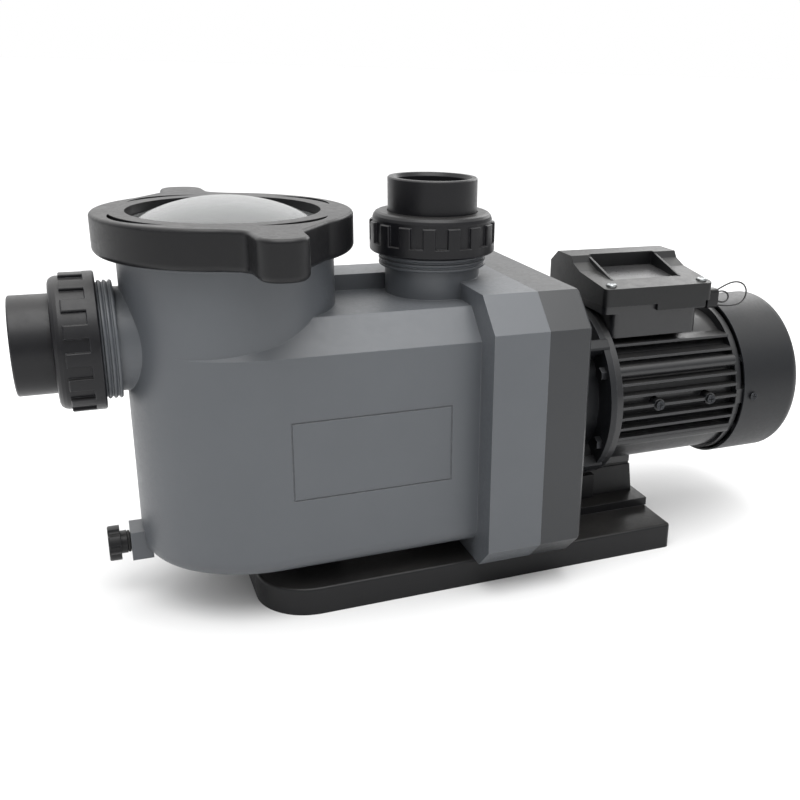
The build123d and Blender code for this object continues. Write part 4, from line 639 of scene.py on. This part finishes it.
# ---------------------------------------------------------------- wet end
@dataclass
class WetEnd:
    """Pump body with its pot, the seal plate and what is bolted between them."""

    def build(self) -> None:
        """Dress the wet end."""
        dress(Surface.BODY, "pump_body")
        dress(Surface.PLATE, "seal_plate")
        dress(Surface.ZINC, "flange_bolts")
        dress(Surface.RUBBER, "body_seal_ring", "diffuser_seal")
        dress(Surface.HYDRAULIC, "diffuser", "impeller")
        dress(Surface.STAINLESS, "impeller_screw", "seal_head", "shaft")
        dress(Surface.CERAMIC, "seal_seat")
        dress(Surface.RUBBER, "slinger")


# ---------------------------------------------------------------- strainer lid
@dataclass
class StrainerLid:
    """Clear lid, locking ring and basket over the pot."""

    pot_x: float = -193.6 * MM
    flange_top: float = 308.4 * MM
    step_radii: tuple[float, float] = (68.2 * MM, 71.6 * MM)
    step_width: float = 1.3 * MM
    step_height: float = 0.9 * MM

    def moulded_steps(self) -> None:
        """Raise two fine rings on the lid's flat flange, inside the locking ring."""
        mesh = bmesh.new()
        place = Matrix.Translation((self.pot_x, 0.0, self.flange_top))
        half = self.step_width / 2
        for radius in self.step_radii:
            outline = (
                (radius - half, -0.3 * MM), (radius - half, self.step_height * 0.6),
                (radius - half * 0.4, self.step_height), (radius + half * 0.4, self.step_height),
                (radius + half, self.step_height * 0.6), (radius + half, -0.3 * MM),
            )
            lathe(mesh, place, outline, 96)
        finished("lid_steps", mesh, Surface.LID, "lid")

    def build(self) -> None:
        """Build the lid's rings and dress the lid, its ring and what is under them."""
        self.moulded_steps()
        dress(Surface.LID, "lid_dome")
        dress(Surface.BLACK, "lock_ring")
        dress(Surface.RUBBER, "lid_oring", "drain_oring")
        dress(Surface.BASKET, "strainer_basket", "basket_handle")
        dress(Surface.BLACK, "drain_plug")


# ---------------------------------------------------------------- unions
@dataclass
class PipeUnions:
    """The threaded unions of the suction and discharge ports."""

    def build(self) -> None:
        """Dress both unions."""
        for port in ("suction", "discharge"):
            dress(Surface.UNION, f"{port}_nut", f"{port}_tailpiece")
            dress(Surface.RUBBER, f"{port}_oring")


# ---------------------------------------------------------------- motor
@dataclass
class Motor:
    """Lantern bracket, finned frame, end shields, rotor and fan cowl."""

    def build(self) -> None:
        """Dress the motor."""
        dress(Surface.ENAMEL, "motor_frame", "front_end_shield", "rear_end_shield")
        # The bracket wears the paler powder coat rather than the enamel: painted light that lightens the bell
        # where it lies in shade.
        dress(Surface.POWDER, "fan_cowl", "motor_bracket")
        dress(Surface.HYDRAULIC, "cooling_fan")
        dress(
            Surface.BLACK_STEEL, "bracket_bolts", "shield_screws", "cowl_screws", "fin_screws", "fan_key"
        )
        dress(
            Surface.STAINLESS, "front_bearing_inner_race", "front_bearing_outer_race",
            "rear_bearing_inner_race", "rear_bearing_outer_race", "bearing_balls",
        )
        dress(Surface.LAMINATION, "stator_core", "rotor_core")
        dress(Surface.COPPER, "stator_windings")


# ---------------------------------------------------------------- terminal box
@dataclass
class TerminalBox:
    """Terminal box on top of the motor, its lid, gland and contents."""

    label_middle: tuple[float, float, float] = (175.5 * MM, -9.0 * MM, 253.75 * MM)
    label_size: tuple[float, float, float] = (63.0 * MM, 41.0 * MM, 0.5 * MM)
    label_rise: float = math.atan(4.8 / 48.0)

    def label(self) -> None:
        """Lay a blank rating label on the sloping floor of the lid's pocket."""
        mesh = bmesh.new()
        place = Matrix.Translation(Vector(self.label_middle)) @ Matrix.Rotation(self.label_rise, 4, "X")
        bmesh.ops.create_cube(mesh, size=1.0, matrix=place @ Matrix.Diagonal((*self.label_size, 1.0)))
        upright = [edge for edge in mesh.edges if abs(edge.calc_length() - self.label_size[2]) < 0.01 * MM]
        bmesh.ops.bevel(
            mesh, geom=upright, offset=3.0 * MM, segments=5, profile=0.5, affect="EDGES", material=-1
        )
        finished("rating_label", mesh, Surface.LABEL, "housing")

    def build(self) -> None:
        """Build the label and dress the terminal box."""
        self.label()
        dress(Surface.BOX, "terminal_box_lid")
        dress(Surface.ENAMEL, "terminal_box")
        dress(Surface.RUBBER, "terminal_box_gasket")
        dress(Surface.ZINC, "terminal_lid_screws", "box_screws")
        dress(Surface.NYLON, "terminal_block", "run_capacitor")
        dress(Surface.BLACK, "cable_gland", "gland_nut")


# ---------------------------------------------------------------- base
@dataclass
class Base:
    """Base plate, pedestal and pad under the motor."""

    def build(self) -> None:
        """Dress the base."""
        dress(Surface.BLACK, "base_plate", "motor_pedestal")
        dress(Surface.RUBBER, "motor_pad")
        dress(Surface.ZINC, "base_screws")


def main() -> None:
    """Build the pump, sub-assembly by sub-assembly."""
    Studio().build()
    MotorLeads().build()
    for part in (WetEnd(), StrainerLid(), PipeUnions(), Motor(), TerminalBox(), Base()):
        part.build()
        log.info("%s done", type(part).__name__)


if __name__ == "__main__":
    main()
